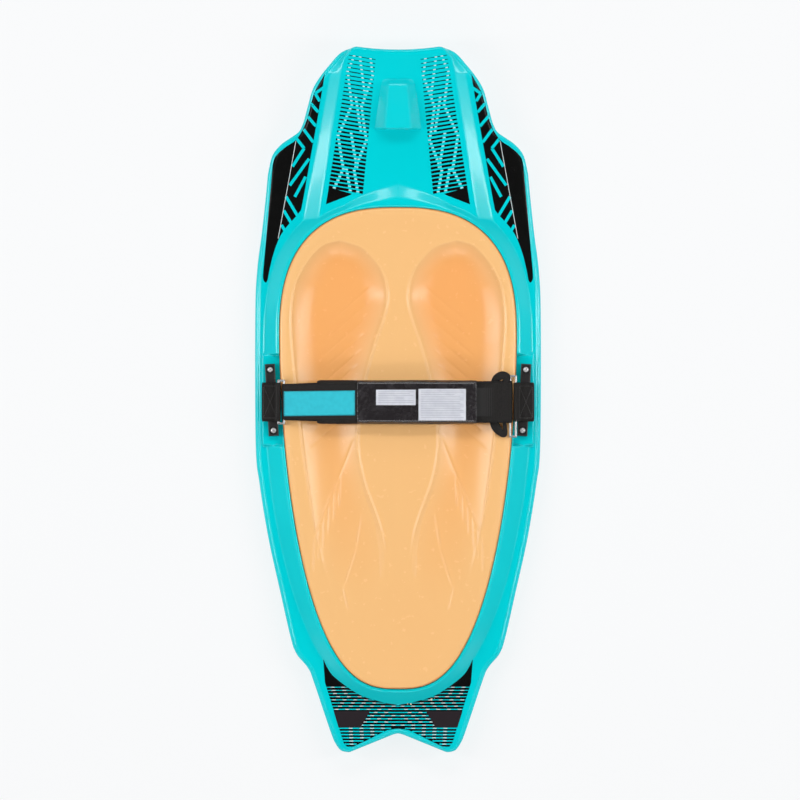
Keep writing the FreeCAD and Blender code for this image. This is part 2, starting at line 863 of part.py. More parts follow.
check_document()
os.makedirs("parts", exist_ok=True)
for name, obj in NODES.items():
    obj.Shape.exportStep(f"parts/{name}.step")
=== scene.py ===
"""Looks of the kneeboard: smooth moulded skins, printed graphics, foam pad and webbing strap.

Shapes are worked out in millimetres, in the frame's own axes, and turned into metres when a
mesh is made.
"""
import math
import random

import bpy
import numpy as np
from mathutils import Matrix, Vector
from mathutils.kdtree import KDTree


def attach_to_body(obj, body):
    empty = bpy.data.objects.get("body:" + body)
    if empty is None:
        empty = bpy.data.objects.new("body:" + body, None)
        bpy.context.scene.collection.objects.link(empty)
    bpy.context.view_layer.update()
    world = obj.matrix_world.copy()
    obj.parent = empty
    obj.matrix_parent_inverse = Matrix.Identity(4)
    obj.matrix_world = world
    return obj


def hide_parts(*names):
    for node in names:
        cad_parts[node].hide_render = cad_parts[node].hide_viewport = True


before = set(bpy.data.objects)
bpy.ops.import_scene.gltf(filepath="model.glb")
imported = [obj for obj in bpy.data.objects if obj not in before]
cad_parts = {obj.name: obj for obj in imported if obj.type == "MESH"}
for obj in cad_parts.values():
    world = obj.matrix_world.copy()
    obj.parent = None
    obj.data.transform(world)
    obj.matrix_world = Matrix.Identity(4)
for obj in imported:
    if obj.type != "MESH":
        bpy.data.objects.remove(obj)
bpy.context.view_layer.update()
MM = 0.001


# ---------------------------------------------------------------- small maths

def smooth(value):
    """0 below 0, 1 above 1, and a smooth step between."""
    part = np.clip(value, 0.0, 1.0)
    return part * part * (3.0 - 2.0 * part)


def bend(value, width):
    """max(value, 0), rounded over width on each side of the corner."""
    inside = (value + width) ** 2 / (4.0 * width)
    return np.where(value < -width, 0.0, np.where(value > width, value, inside))


def ramp(value, width=0.12):
    """A straight ramp from 0 to 1 with rounded corners."""
    return bend(value, width) - bend(value - 1.0, width)


def larger(a, b, width):
    """The larger of two heights, blended where they are close."""
    return b + bend(a - b, width)


def spline_points(points, per_span):
    """Catmull-Rom samples through a short list of points."""
    p = np.array(points, float)
    p = np.vstack([2 * p[0] - p[1], p, 2 * p[-1] - p[-2]])
    samples = []
    for i in range(1, len(p) - 2):
        for t in np.linspace(0.0, 1.0, per_span, endpoint=False):
            a = 2 * p[i]
            b = p[i + 1] - p[i - 1]
            c = 2 * p[i - 1] - 5 * p[i] + 4 * p[i + 1] - p[i + 2]
            d = 3 * p[i] - p[i - 1] - 3 * p[i + 1] + p[i + 2]
            samples.append(0.5 * (a + b * t + c * t * t + d * t ** 3))
    samples.append(p[-2])
    return np.array(samples)


def lengths_along(points):
    """Distance travelled at each point of a plane line."""
    return np.concatenate([[0.0], np.cumsum(np.hypot(*np.diff(points, axis=0).T))])


def resample(points, count):
    """count places at equal steps along a closed line."""
    closed = np.vstack([points, points[:1]])
    along = lengths_along(closed)
    places = np.linspace(0.0, along[-1], count, endpoint=False)
    return np.stack([np.interp(places, along, closed[:, i]) for i in (0, 1)], axis=1)


def soften(points, turns):
    """Round the corners of a closed line."""
    for _ in range(turns):
        points = (np.roll(points, 1, 0) + 2 * points + np.roll(points, -1, 0)) / 4.0
    return points


def squared(value, power):
    """A sine or cosine pushed outwards, for cross-sections between round and square."""
    return math.copysign(abs(value) ** power, value)


def edge_drop(inboard, radius):
    """How far an edge rounded to radius falls, at each distance inside it."""
    depth = np.clip(radius - inboard, 0.0, radius)
    return radius - np.sqrt(np.maximum(radius ** 2 - depth ** 2, 0.0))


def polar_ring(points, centre, angles):
    """Radius of a closed line around a point, at the given angles."""
    away = np.asarray(points) - centre
    own = np.arctan2(away[:, 1], away[:, 0])
    order = np.argsort(own)
    own, radius = own[order], np.hypot(*away.T)[order]
    own = np.concatenate([own - 2 * math.pi, own, own + 2 * math.pi])
    return np.interp(angles, own, np.tile(radius, 3))


def on_rays(centre, radius, angles):
    """Places at a radius from a centre, along rays at the given angles."""
    return centre + np.stack([radius * np.cos(angles), radius * np.sin(angles)], axis=1)


# ---------------------------------------------------------------- mesh helpers

def add_mesh(name, vertices, faces, material, flat=False):
    """A mesh object from places in millimetres."""
    mesh = bpy.data.meshes.new(name)
    mesh.from_pydata((np.asarray(vertices, float) * MM).tolist(), [], faces)
    mesh.update()
    if not flat:
        mesh.polygons.foreach_set("use_smooth", [True] * len(mesh.polygons))
    obj = bpy.data.objects.new(name, mesh)
    bpy.context.scene.collection.objects.link(obj)
    obj.data.materials.append(material)
    return obj


def grid_faces(rows, columns, closed_columns=False, closed_rows=False, first=0):
    """Quads between neighbouring rows and columns of a grid of vertices."""
    row_count = rows if closed_rows else rows - 1
    column_count = columns if closed_columns else columns - 1
    i, j = np.meshgrid(np.arange(row_count), np.arange(column_count), indexing="ij")
    next_i = (i + 1) % rows
    next_j = (j + 1) % columns
    quads = np.stack([
        i * columns + j, i * columns + next_j, next_i * columns + next_j, next_i * columns + j
    ], axis=-1)
    return (quads.reshape(-1, 4) + first).tolist()


def loops_mesh(name, loops, material, cap_start=True, cap_end=True):
    """A closed skin through a list of rings of equal length, with fans at its ends."""
    loops = np.asarray(loops, float)
    count, size = loops.shape[:2]
    vertices = loops.reshape(-1, 3)
    faces = grid_faces(count, size, closed_columns=True)
    extra = []
    for wanted, ring, flip in ((cap_start, 0, True), (cap_end, count - 1, False)):
        if not wanted:
            continue
        centre = len(vertices) + len(extra)
        extra.append(loops[ring].mean(axis=0))
        for j in range(size):
            a = ring * size + j
            b = ring * size + (j + 1) % size
            faces.append((b, a, centre) if flip else (a, b, centre))
    if extra:
        vertices = np.vstack([vertices, extra])
    return add_mesh(name, vertices, faces, material)


def border_of(rows, columns):
    """Indices round the border of a grid of vertices."""
    border = list(range(columns))
    border += [i * columns + columns - 1 for i in range(1, rows)]
    border += [(rows - 1) * columns + j for j in reversed(range(columns - 1))]
    return border + [i * columns for i in reversed(range(1, rows - 1))]


def wall_faces(upper, lower):
    """Quads between two closed rows of vertices of equal length."""
    return [
        (a, b, c, d) for a, b, c, d in
        zip(upper, lower, lower[1:] + lower[:1], upper[1:] + upper[:1])
    ]


def attach(obj, body, slot, *nodes):
    """Ride on a body and stand for CAD nodes, which are hidden; the slot argument is not used."""
    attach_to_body(obj, body)
    if nodes:
        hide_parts(*nodes)
    return obj


# ---------------------------------------------------------------- materials

class Finish:
    """A Principled material that is built up with a few procedural layers."""

    def __init__(self, name, colour, roughness, **values):
        self.material = bpy.data.materials.new(name)
        self.material.use_nodes = True
        self.tree = self.material.node_tree
        self.shader = self.tree.nodes["Principled BSDF"]
        self.colour = (*colour, 1.0)
        self.shader.inputs["Base Color"].default_value = self.colour
        self.shader.inputs["Roughness"].default_value = roughness
        for socket, value in values.items():
            self.shader.inputs[socket.replace("_", " ")].default_value = value
        self.place = self.tree.nodes.new("ShaderNodeTexCoord").outputs["Object"]
        self.height = None

    def node(self, kind, **settings):
        node = self.tree.nodes.new(kind)
        for key, value in settings.items():
            setattr(node, key, value)
        return node

    def link(self, start, end):
        self.tree.links.new(start, end)

    def noise(self, scale, detail=3.0, stretch=None):
        texture = self.node("ShaderNodeTexNoise")
        texture.inputs["Scale"].default_value = scale
        texture.inputs["Detail"].default_value = detail
        self.link(self.mapped(stretch), texture.inputs["Vector"])
        return texture.outputs["Fac"]

    def mapped(self, stretch):
        if stretch is None:
            return self.place
        mapping = self.node("ShaderNodeMapping")
        mapping.inputs["Scale"].default_value = stretch
        self.link(self.place, mapping.inputs["Vector"])
        return mapping.outputs["Vector"]

    def wave(self, scale, direction, distortion=0.0, profile="SIN"):
        texture = self.node("ShaderNodeTexWave", bands_direction=direction, wave_profile=profile)
        texture.inputs["Scale"].default_value = scale
        texture.inputs["Distortion"].default_value = distortion
        texture.inputs["Detail Scale"].default_value = 2.0
        self.link(self.place, texture.inputs["Vector"])
        return texture.outputs["Fac"]

    def spread(self, value, low, high):
        """Map a 0 to 1 value to the range from low to high."""
        node = self.node("ShaderNodeMapRange")
        node.inputs["To Min"].default_value = low
        node.inputs["To Max"].default_value = high
        self.link(value, node.inputs["Value"])
        return node.outputs["Result"]

    def tint(self, value, second, low=0.35, high=0.65):
        """Blend the base colour towards a second colour."""
        band = self.node("ShaderNodeMapRange")
        band.inputs["From Min"].default_value = low
        band.inputs["From Max"].default_value = high
        self.link(value, band.inputs["Value"])
        mix = self.node("ShaderNodeMix", data_type="RGBA")
        mix.inputs["A"].default_value = self.colour
        mix.inputs["B"].default_value = (*second, 1.0)
        self.link(band.outputs["Result"], mix.inputs["Factor"])
        self.link(mix.outputs["Result"], self.shader.inputs["Base Color"])
        return self

    def rough(self, value, low, high):
        self.link(self.spread(value, low, high), self.shader.inputs["Roughness"])
        return self

    def bump(self, value, distance, strength=1.0):
        """Add one layer of relief; distance is in metres."""
        node = self.node("ShaderNodeBump")
        node.inputs["Strength"].default_value = strength
        node.inputs["Distance"].default_value = distance
        self.link(value, node.inputs["Height"])
        if self.height is not None:
            self.link(self.height, node.inputs["Normal"])
        self.height = node.outputs["Normal"]
        self.link(self.height, self.shader.inputs["Normal"])
        return self


def teal_plastic():
    finish = Finish("teal_plastic", (0.0, 0.70, 0.76), 0.2, Coat_Weight=0.25, Coat_Roughness=0.08,
                    Specular_IOR_Level=0.3)
    finish.tint(finish.noise(6.0), (0.0, 0.67, 0.73))
    finish.rough(finish.noise(40.0), 0.17, 0.25)
    return finish.material


def print_black(name="print_black", colour=(0.004, 0.004, 0.004)):
    finish = Finish(name, colour, 0.25, Specular_IOR_Level=0.25)
    finish.rough(finish.noise(80.0), 0.2, 0.3)
    finish.bump(finish.noise(500.0, 2.0), 0.00004, 0.3)
    return finish.material


def print_pale():
    finish = Finish("print_pale", (0.78, 0.72, 0.72), 0.4)
    finish.tint(finish.noise(300.0), (0.55, 0.8, 0.82))
    return finish.material


def pad_foam():
    """Orange foam whose colour follows the mesh's tone: level border, wells in a deeper orange as
    painted shade, edge.
    """
    finish = Finish("pad_foam", (0.98, 0.57, 0.26), 0.32, Sheen_Weight=0.05)
    tone_with_well_shade = finish.node("ShaderNodeAttribute", attribute_name="tone_with_well_shade").outputs["Fac"]
    cloud = finish.spread(finish.noise(5.0, 4.0), -0.12, 0.12)
    total = finish.node("ShaderNodeMath", operation="ADD")
    finish.link(tone_with_well_shade, total.inputs[0])
    finish.link(cloud, total.inputs[1])
    colours = finish.node("ShaderNodeValToRGB")
    scaled = finish.node("ShaderNodeMath", operation="MULTIPLY")
    scaled.inputs[1].default_value = 0.5
    finish.link(total.outputs["Value"], scaled.inputs[0])
    ramp_points = colours.color_ramp.elements
    ramp_points[0].color = (1.0, 0.575, 0.235, 1.0)
    ramp_points[1].color = (0.95, 0.16, 0.04, 1.0)
    # deeper orange middle colour: painted shade in the knee wells
    ramp_points.new(0.5).color = (0.99, 0.46, 0.15, 1.0)
    finish.link(scaled.outputs["Value"], colours.inputs["Fac"])
    finish.link(colours.outputs["Color"], finish.shader.inputs["Base Color"])
    finish.rough(finish.noise(90.0), 0.22, 0.3)
    finish.bump(finish.noise(900.0, 2.0), 0.00006, 0.3)
    return finish.material


def ribbed_webbing():
    finish = Finish("ribbed_webbing", (0.006, 0.005, 0.0045), 0.65, Sheen_Weight=0.04,
                    Specular_IOR_Level=0.3)
    finish.tint(finish.noise(500.0), (0.014, 0.012, 0.011))
    finish.bump(finish.wave(700.0, "Y"), 0.00018, 0.6)
    finish.bump(finish.noise(2200.0), 0.0001, 0.5)
    return finish.material


def stitching():
    finish = Finish("black_thread", (0.04, 0.037, 0.036), 0.5, Sheen_Weight=0.2)
    finish.bump(finish.noise(3000.0), 0.00008, 0.5)
    return finish.material


def neoprene():
    finish = Finish("neoprene_knit", (0.006, 0.005, 0.005), 0.65, Sheen_Weight=0.05,
                    Specular_IOR_Level=0.3)
    finish.tint(finish.noise(40.0), (0.010, 0.008, 0.008))
    finish.bump(finish.wave(420.0, "X"), 0.00012, 0.5)
    finish.bump(finish.wave(420.0, "Y"), 0.00012, 0.5)
    return finish.material


def label_weave():
    finish = Finish("label_weave", (0.01, 0.54, 0.67), 0.62, Sheen_Weight=0.08)
    finish.tint(finish.noise(120.0), (0.015, 0.59, 0.72))
    finish.bump(finish.wave(520.0, "X"), 0.0001, 0.5)
    finish.bump(finish.wave(700.0, "Y"), 0.0001, 0.5)
    return finish.material


def vinyl():
    finish = Finish("crinkled_vinyl", (0.02, 0.017, 0.019), 0.22, Coat_Weight=0.6, Coat_Roughness=0.1)
    finish.tint(finish.noise(45.0), (0.04, 0.036, 0.04), 0.5, 0.8)
    finish.rough(finish.noise(70.0), 0.16, 0.36)
    finish.bump(finish.noise(60.0, 4.0, (1.0, 2.6, 1.0)), 0.0008, 0.35)
    return finish.material


def white_panel():
    finish = Finish("white_panel", (0.74, 0.76, 0.82), 0.38)
    finish.tint(finish.noise(90.0), (0.66, 0.68, 0.75))
    finish.bump(finish.noise(60.0, 4.0, (1.0, 2.6, 1.0)), 0.0012, 0.35)
    return finish.material


def panel_grey():
    return Finish("panel_grey", (0.42, 0.43, 0.5), 0.5).material


def black_plastic():
    finish = Finish("bar_plastic", (0.016, 0.015, 0.016), 0.36, Specular_IOR_Level=0.4)
    finish.tint(finish.noise(35.0), (0.024, 0.022, 0.023))
    finish.bump(finish.noise(1500.0), 0.00008, 0.5)
    return finish.material


def stainless(name="stainless", colour=(0.72, 0.72, 0.73)):
    finish = Finish(name, colour, 0.3, Metallic=1.0)
    finish.rough(finish.noise(400.0, 2.0, (1.0, 6.0, 1.0)), 0.24, 0.36)
    return finish.material


def brass():
    finish = Finish("turned_brass", (0.72, 0.55, 0.26), 0.3, Metallic=1.0)
    finish.rough(finish.noise(300.0), 0.25, 0.4)
    return finish.material


def foam():
    finish = Finish("core_foam", (0.8, 0.74, 0.5), 0.9)
    finish.bump(finish.noise(500.0), 0.0005)
    return finish.material


def tape():
    finish = Finish("hook_and_loop", (0.02, 0.019, 0.019), 0.95, Sheen_Weight=0.5)
    finish.bump(finish.noise(1800.0), 0.0004)
    return finish.material


TEAL = teal_plastic()
PRINT = print_black()
PRINT_GREY = print_black("print_grey", (0.026, 0.02, 0.024))
PALE = print_pale()
WEBBING = ribbed_webbing()
THREAD = stitching()
NEOPRENE = neoprene()
STEEL = stainless()
DARK_STEEL = stainless("ring_steel", (0.42, 0.42, 0.43))

CAD_FINISHES = {
    "fill_plug": black_plastic(),
    "left_anchor_bar": black_plastic(),
    "right_anchor_bar": black_plastic(),
    "left_threaded_inserts": brass(),
    "right_threaded_inserts": brass(),
    "left_ring": DARK_STEEL,
    "right_ring": DARK_STEEL,
    "hook_tape": tape(),
    "loop_tape": tape(),
}
for node_name, material in CAD_FINISHES.items():
    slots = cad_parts[node_name].data.materials
    slots.clear()
    slots.append(material)


# ---------------------------------------------------------------- shape of the board

HALF_WIDTH = 251.5
CENTRE = np.array([0.0, 110.0])
RAIL_TOP = 38.0
PARTING = 22.0
RING_RISE = 21.0
PLATEAU_RISE = 15.0
TRAY_FLOOR = 34.0
PAD_RIM = 61.0
PAD_GROW = 1.2
PAD_RADIUS = 4.5
CORE_GAP = 5.0
SHELF = 47.0

NOSE = [(74, 619.5), (100, 609), (120, 588), (137, 567), (150, 545), (159, 514), (166, 488)]
WING = [(166, 488), (174, 472), (189, 461), (206, 449), (221, 430), (229, 398)]
SIDE = [
    (229, 398), (233, 356), (240, 293), (248, 230), (251.5, 150), (250.8, -76), (243.6, -150),
    (228, -245), (207, -340), (192.6, -404), (184.7, -435),
]
STEP = [(184.7, -435), (177, -450), (163, -466), (155, -477.5)]
TAIL = [(155, -477.5), (144, -509), (130, -551), (115, -594), (108, -608)]
TIP = [(108, -608), (100, -617), (86, -620)]


def board_outline(count):
    """Plan view of the board as places at equal steps, starting at the nose."""
    nose = [(x, 619.5 - 5.5 * (1.0 - (x / 74.0) ** 2)) for x in np.linspace(0.0, 72.0, 12)]
    parts = [np.array(nose)]
    for stretch in (NOSE, WING, SIDE, STEP, TAIL, TIP):
        parts.append(spline_points(stretch, 24))
    parts.append(np.array([(x, -620 + 32 * (86 - x) / 79) for x in np.linspace(84, 8, 20)]))
    right = np.vstack(parts + [[(0.0, -586.5)]])
    left = right[1:-1][::-1] * (-1.0, 1.0)
    return soften(resample(np.vstack([right, left]), count), 3)


def egg_outline(grow, count=4000):
    """Plan view of the pad, grown by grow."""
    angle = np.linspace(0.0, 2.0 * math.pi, count, endpoint=False)
    across = np.cos(angle)
    along = np.sin(angle)
    front = along >= 0.0
    length = np.where(front, 227.0, 616.0) + grow
    power = np.where(front, 2.0 / 2.6, 2.0 / 1.8)
    root = np.where(front, 2.0 / 2.6, 2.0 * 0.365)
    x = np.sign(across) * (207.0 + grow) * np.abs(across) ** root
    y = CENTRE[1] + np.sign(along) * length * np.abs(along) ** power
    return np.stack([x, y], axis=1)


def tree_of(points):
    tree = KDTree(len(points))
    for i, (x, y) in enumerate(points):
        tree.insert((x, y, 0.0), i)
    tree.balance()
    return tree


def distances(tree, x, y):
    """Distance from each place to the nearest point of a line."""
    flat = [tree.find((a, b, 0.0))[2] for a, b in zip(np.ravel(x), np.ravel(y))]
    return np.array(flat).reshape(np.shape(x))


STATIONS = 1600
TRAY_HALF = [
    (-515, 0), (-506, 40), (-440, 110), (-300, 160), (-150, 188), (110, 209), (250, 185), (320, 110),
    (337, 40), (345, 0),
]
OUTLINE = board_outline(STATIONS)
LIP = egg_outline(2.0)
OUTLINE_TREE = tree_of(resample(OUTLINE, 6000))
LIP_TREE = tree_of(resample(LIP, 4000))


def at_angles(line, angles):
    """Places where rays from the centre cross a closed line."""
    return on_rays(CENTRE, polar_ring(line, CENTRE, angles), angles)


NOSE_LIFT_FROM = 220.0
NOSE_LIFT_LENGTH = 400.0
TAIL_LIFT_FROM = -320.0
TAIL_LIFT_LENGTH = 300.0


def end_shares(y):
    """0 along the level middle, 1 at the nose and 1 at the tail."""
    nose = np.maximum(0.0, y - NOSE_LIFT_FROM) / NOSE_LIFT_LENGTH
    tail = np.maximum(0.0, TAIL_LIFT_FROM - y) / TAIL_LIFT_LENGTH
    return nose, tail


def rocker(y):
    """Lift of the board's underside towards its ends."""
    nose, tail = end_shares(y)
    return 70.0 * nose ** 2 + 26.0 * tail ** 2


def rail(y):
    """Height of the deck along the rail."""
    nose, tail = end_shares(y)
    return rocker(y) + RAIL_TOP - 8.0 * nose ** 2 - 10.0 * tail ** 2


def plateau_height(x, y):
    """Nose plateau above the rail: a flat top with sloping flanks."""
    corner_y, corner_half = 574.0, 120.0
    beside = corner_half + 0.18 * (corner_y - y)
    foot = np.where(y < corner_y, beside, corner_half - 0.85 * (y - corner_y))
    edge = 94.6 + 0.1665 * (600.7 - y)
    edge = np.minimum(edge, foot - 4.0)
    loss = 8.0 * np.maximum(0.0, y - NOSE_LIFT_FROM) / NOSE_LIFT_LENGTH
    fade = smooth((y - 215.0) / 75.0)
    return (PLATEAU_RISE - loss) * fade * ramp((foot - np.abs(x)) / (foot - edge), 0.14)


RING_WIDTH_AT = (-536.0, -456.0, -320.0, -177.0, 0.0, 175.0, 300.0, 376.0)
RING_WIDTH = (28.0, 25.0, 30.0, 33.0, 30.0, 26.0, 26.0, 28.0)


def ring_height(x, y, away):
    """Raised ring around the pad; away is the distance outside its lip."""
    front = np.clip(1.0 - np.abs(x) / 95.0, 0.0, 1.0) * smooth((y - 250.0) / 60.0)
    width = np.interp(y, RING_WIDTH_AT, RING_WIDTH)
    flat = 5.0 + 8.0 * front
    slope = width - 5.0 + 46.0 * front
    return RING_RISE * (1.0 - ramp((away - flat) / slope, 0.08))


def shelf_share(x, y):
    """1 on the flat shelves that carry the strap bars, 0 elsewhere."""
    long_way = smooth((81.5 - np.abs(y)) / 3.0)
    across = smooth((np.abs(x) - 201.0) / 1.5) * smooth((239.5 - np.abs(x)) / 2.5)
    return long_way * across


RAIL_RADIUS = 6.5
CHINE_RADIUS = 10.0


def deck_surface(x, y):
    """Top of the deck skin at each place."""
    away = distances(LIP_TREE, x, y)
    inboard = distances(OUTLINE_TREE, x, y)
    top = larger(plateau_height(x, y), ring_height(x, y, away), 1.2)
    lip_round = 1.6 * np.clip(1.0 - away / 1.8, 0.0, 1.0) ** 2
    z = rail(y) + top - lip_round
    share = shelf_share(x, y)
    z = z * (1.0 - share) + SHELF * share
    groove = 0.7 * np.exp(-((inboard - 6.8) / 1.3) ** 2)
    return z - edge_drop(inboard, RAIL_RADIUS) - groove


def hull_surface(x, y):
    """Underside: planing flat, two shallow channels and turned-up chines."""
    flat_half = 150.0
    chine = np.maximum(0.0, np.abs(x) - flat_half) / (HALF_WIDTH - flat_half)
    bottom = np.maximum(0.0, rocker(y) + 16.0 * chine ** 2 - 1.5)
    channel = np.exp(-((np.abs(x) - 62.0) / 16.0) ** 2) * smooth((430.0 - np.abs(y + 60.0)) / 120.0)
    inboard = distances(OUTLINE_TREE, x, y)
    return bottom + 2.5 * channel + edge_drop(inboard, CHINE_RADIUS)


def make_deck():
    """Deck skin: from the tray wall over ring and plateau to the parting line."""
    away = OUTLINE - CENTRE
    inner = at_angles(LIP, np.arctan2(away[:, 1], away[:, 0]))
    shares = np.linspace(0.0, 1.0, 150) ** 0.9
    plan = inner[None] + shares[:, None, None] * (OUTLINE - inner)[None]
    x, y = plan[..., 0], plan[..., 1]
    z = deck_surface(x, y)
    wall = []
    for share in (0.0, 0.5, 0.85):
        height = (rocker(inner[:, 1]) + TRAY_FLOOR) * (1 - share) + share * z[0]
        wall.append(np.column_stack([inner, height]))
    side = []
    seam = rocker(OUTLINE[:, 1]) + PARTING
    direction = away / np.hypot(*away.T)[:, None]
    for share, inset in ((0.3, 0.0), (0.6, 0.0), (0.9, 0.0), (0.97, 0.5), (1.0, 1.4)):
        height = z[-1] * (1 - share) + seam * share
        side.append(np.column_stack([OUTLINE - inset * direction, height]))
    loops = np.concatenate([np.array(wall), np.stack([x, y, z], axis=-1), np.array(side)])
    deck = loops_mesh("deck_skin", loops, TEAL, cap_start=False, cap_end=False)
    return attach(deck, "board", "teal_skin", "deck_shell")


def make_hull():
    """Hull skin, from the parting line round the rail to the planing flat."""
    away = OUTLINE - CENTRE
    direction = away / np.hypot(*away.T)[:, None]
    shares = 1.0 - np.linspace(0.0, 1.0, 110) ** 1.25
    plan = CENTRE + shares[:-1, None, None] * away[None]
    x, y = plan[..., 0], plan[..., 1]
    z = hull_surface(x, y)
    seam = rocker(OUTLINE[:, 1]) + PARTING
    side = []
    for share, inset in ((0.0, 1.4), (0.03, 0.5), (0.1, 0.0), (0.5, 0.0)):
        height = seam * (1 - share) + z[0] * share
        side.append(np.column_stack([OUTLINE - inset * direction, height]))
    loops = np.concatenate([np.array(side), np.stack([x, y, z], axis=-1)])
    hull = loops_mesh("hull_skin", loops, TEAL, cap_start=False)
    attach(hull, "board", "teal_skin", "hull_shell")
    for side_sign in (-1, 1):
        make_fin(side_sign)


def make_core():
    """Foam filling, a few millimetres inside both skins."""
    away = OUTLINE[::4] - CENTRE
    shares = np.linspace(0.0, 0.965, 30)[1:]
    low = CENTRE + shares[:, None, None] * away[None]
    high = low[::-1]
    floor = hull_surface(low[..., 0], low[..., 1]) + CORE_GAP
    roof = deck_surface(high[..., 0], high[..., 1]) - CORE_GAP
    inside = tray_share(high[..., 0], high[..., 1])
    roof = roof * (1.0 - inside) + (rocker(high[..., 1]) + TRAY_FLOOR - CORE_GAP) * inside
    roof = np.maximum(roof, floor[::-1] + 2.0)
    loops = np.concatenate([np.stack([*np.moveaxis(low, -1, 0), floor], axis=-1),
                            np.stack([*np.moveaxis(high, -1, 0), roof], axis=-1)])
    core = loops_mesh("foam_filling", loops, foam())
    attach(core, "board", "core_foam", "foam_core")


def tray_share(x, y):
    """1 inside the pad's tray and under the shelves, 0 elsewhere."""
    half = np.interp(y, *zip(*TRAY_HALF))
    under_shelf = (np.abs(y) < 95.0) & (np.abs(x) > 190.0)
    return np.where((np.abs(x) < half + 9.0) & (half > 0.0) | under_shelf, 1.0, 0.0)


FIN_X = 92.0
FIN_START = -415.0
FIN_LENGTH = 165.0


def make_fin(side):
    """Low moulded fin under the tail, rounded along its lower edge."""
    loops = []
    for t in np.linspace(0.0, 1.0, 40):
        y = FIN_START - FIN_LENGTH * t
        top = float(rocker(np.array(y))) + 1.0
        low = np.interp(t, [0.0, 0.12, 0.86, 0.97, 1.0], [top - 0.5, 2.6, 1.1, 6.0, top - 1.0])
        thick = 3.6 * math.sqrt(max(1.0 - (2.0 * t - 1.0) ** 4, 0.02))
        ring = []
        for angle in np.linspace(0.0, 2.0 * math.pi, 24, endpoint=False):
            across = squared(math.cos(angle), 0.7)
            down = squared(math.sin(angle), 0.7)
            middle = (top + low) / 2.0
            ring.append((side * FIN_X + thick * across, y, middle + (top - low) / 2.0 * down))
        loops.append(ring)
    fin = loops_mesh("left_fin" if side < 0 else "right_fin", loops, TEAL)
    attach(fin, "board", "teal_skin")


# ---------------------------------------------------------------- tow hook

HOOK_REAR = 475.0
HOOK_FRONT = 564.0
HOOK_FOOT = (42.0, 29.0)
HOOK_TOP = (23.6, 15.0)
HOOK_HEIGHT = 110.5
HOOK_FALL = 9.5
MOUTH_HALF = 21.0
MOUTH_LOW = 79.8
MOUTH_HIGH = 101.5
MOUTH_DEPTH = 25.0


def make_hook():
    """Moulded hood with a rear-facing mouth: skin, rear rim and the mouth's inside."""
    rear, front = HOOK_REAR, HOOK_FRONT
    angles = np.linspace(-math.pi, math.pi, 160, endpoint=False)
    loops = []

    def section(y, grow=0.0):
        share = (y - rear) / (front - rear)
        foot = HOOK_FOOT[0] + (HOOK_FOOT[1] - HOOK_FOOT[0]) * share
        top = HOOK_TOP[0] + (HOOK_TOP[1] - HOOK_TOP[0]) * share
        nose_round = smooth((front + 1.0 - y) / 12.0)
        base = float(rail(np.array(y))) + float(plateau_height(np.array(0.0), np.array(y))) - 2.0
        height = HOOK_HEIGHT - HOOK_FALL * share
        height = base + 1.5 + (height - base - 1.5) * nose_round
        floor = base - 12.0
        corners = np.array([(-foot - 1, floor), (foot + 1, floor), (foot, base + 1.5),
                            (top, height), (-top, height), (-foot, base + 1.5)])
        line = soften(resample(corners, 240), 14)
        centre = np.array([0.0, (base + height) / 2.0])
        ring = on_rays(centre, polar_ring(line, centre, angles) + grow, angles)
        return np.column_stack([ring[:, 0], np.full(len(angles), y), ring[:, 1]])

    for t in np.linspace(0.0, 1.0, 40):
        loops.append(section(front + (rear + 2.0 - front) * t))
    loops.append(section(rear + 0.6, -0.6))
    rim = section(rear, -2.0)
    loops.append(rim)
    centre = np.array([0.0, 90.0])
    mouth = np.array([(-MOUTH_HALF, MOUTH_LOW), (MOUTH_HALF, MOUTH_LOW),
                      (MOUTH_HALF, MOUTH_HIGH), (-MOUTH_HALF, MOUTH_HIGH)])
    line = soften(resample(mouth, 240), 60)
    ring = on_rays(centre, polar_ring(line, centre, angles), angles)
    for share in (0.35, 0.7, 1.0):
        plane = rim[:, (0, 2)] * (1 - share) + ring * share
        loops.append(np.column_stack([plane[:, 0], np.full(len(angles), rear), plane[:, 1]]))
    for t in np.linspace(0.05, 1.0, 14):
        scale = math.sqrt(max(1.0 - t ** 3, 0.0))
        plane = centre + (ring - centre) * max(scale, 0.02)
        inside = np.full(len(angles), rear + MOUTH_DEPTH * t)
        loops.append(np.column_stack([plane[:, 0], inside, plane[:, 1]]))
    hook = loops_mesh("tow_hook_hood", loops, TEAL)
    attach(hook, "board", "teal_skin")


# ---------------------------------------------------------------- printed graphics

def deck_decal(name, patches, lift, material):
    """Thin printed film: patches are grids of (x, y) places that lie on the deck."""
    vertices = []
    faces = []
    for patch in patches:
        rows, columns = patch.shape[:2]
        faces += grid_faces(rows, columns, first=len(vertices))
        vertices += patch.reshape(-1, 2).tolist()
    plan = np.array(vertices)
    z = deck_surface(plan[:, 0], plan[:, 1]) + lift
    decal = add_mesh(name, np.column_stack([plan, z]), faces, material)
    return attach(decal, "board", "teal_skin")


def strip(start, end, width_start, width_end=None, step=4.0):
    """A grid along a straight printed bar."""
    start, end = np.array(start, float), np.array(end, float)
    width_end = width_start if width_end is None else width_end
    run = end - start
    length = math.hypot(*run)
    normal = np.array([-run[1], run[0]]) / length
    count = max(2, int(length / step) + 2)
    shares = np.linspace(0.0, 1.0, count)[:, None]
    line = start + shares * run
    width = width_start + (width_end - width_start) * shares
    return np.stack([line + normal * width * side for side in (-0.5, 0.0, 0.5)], axis=1)


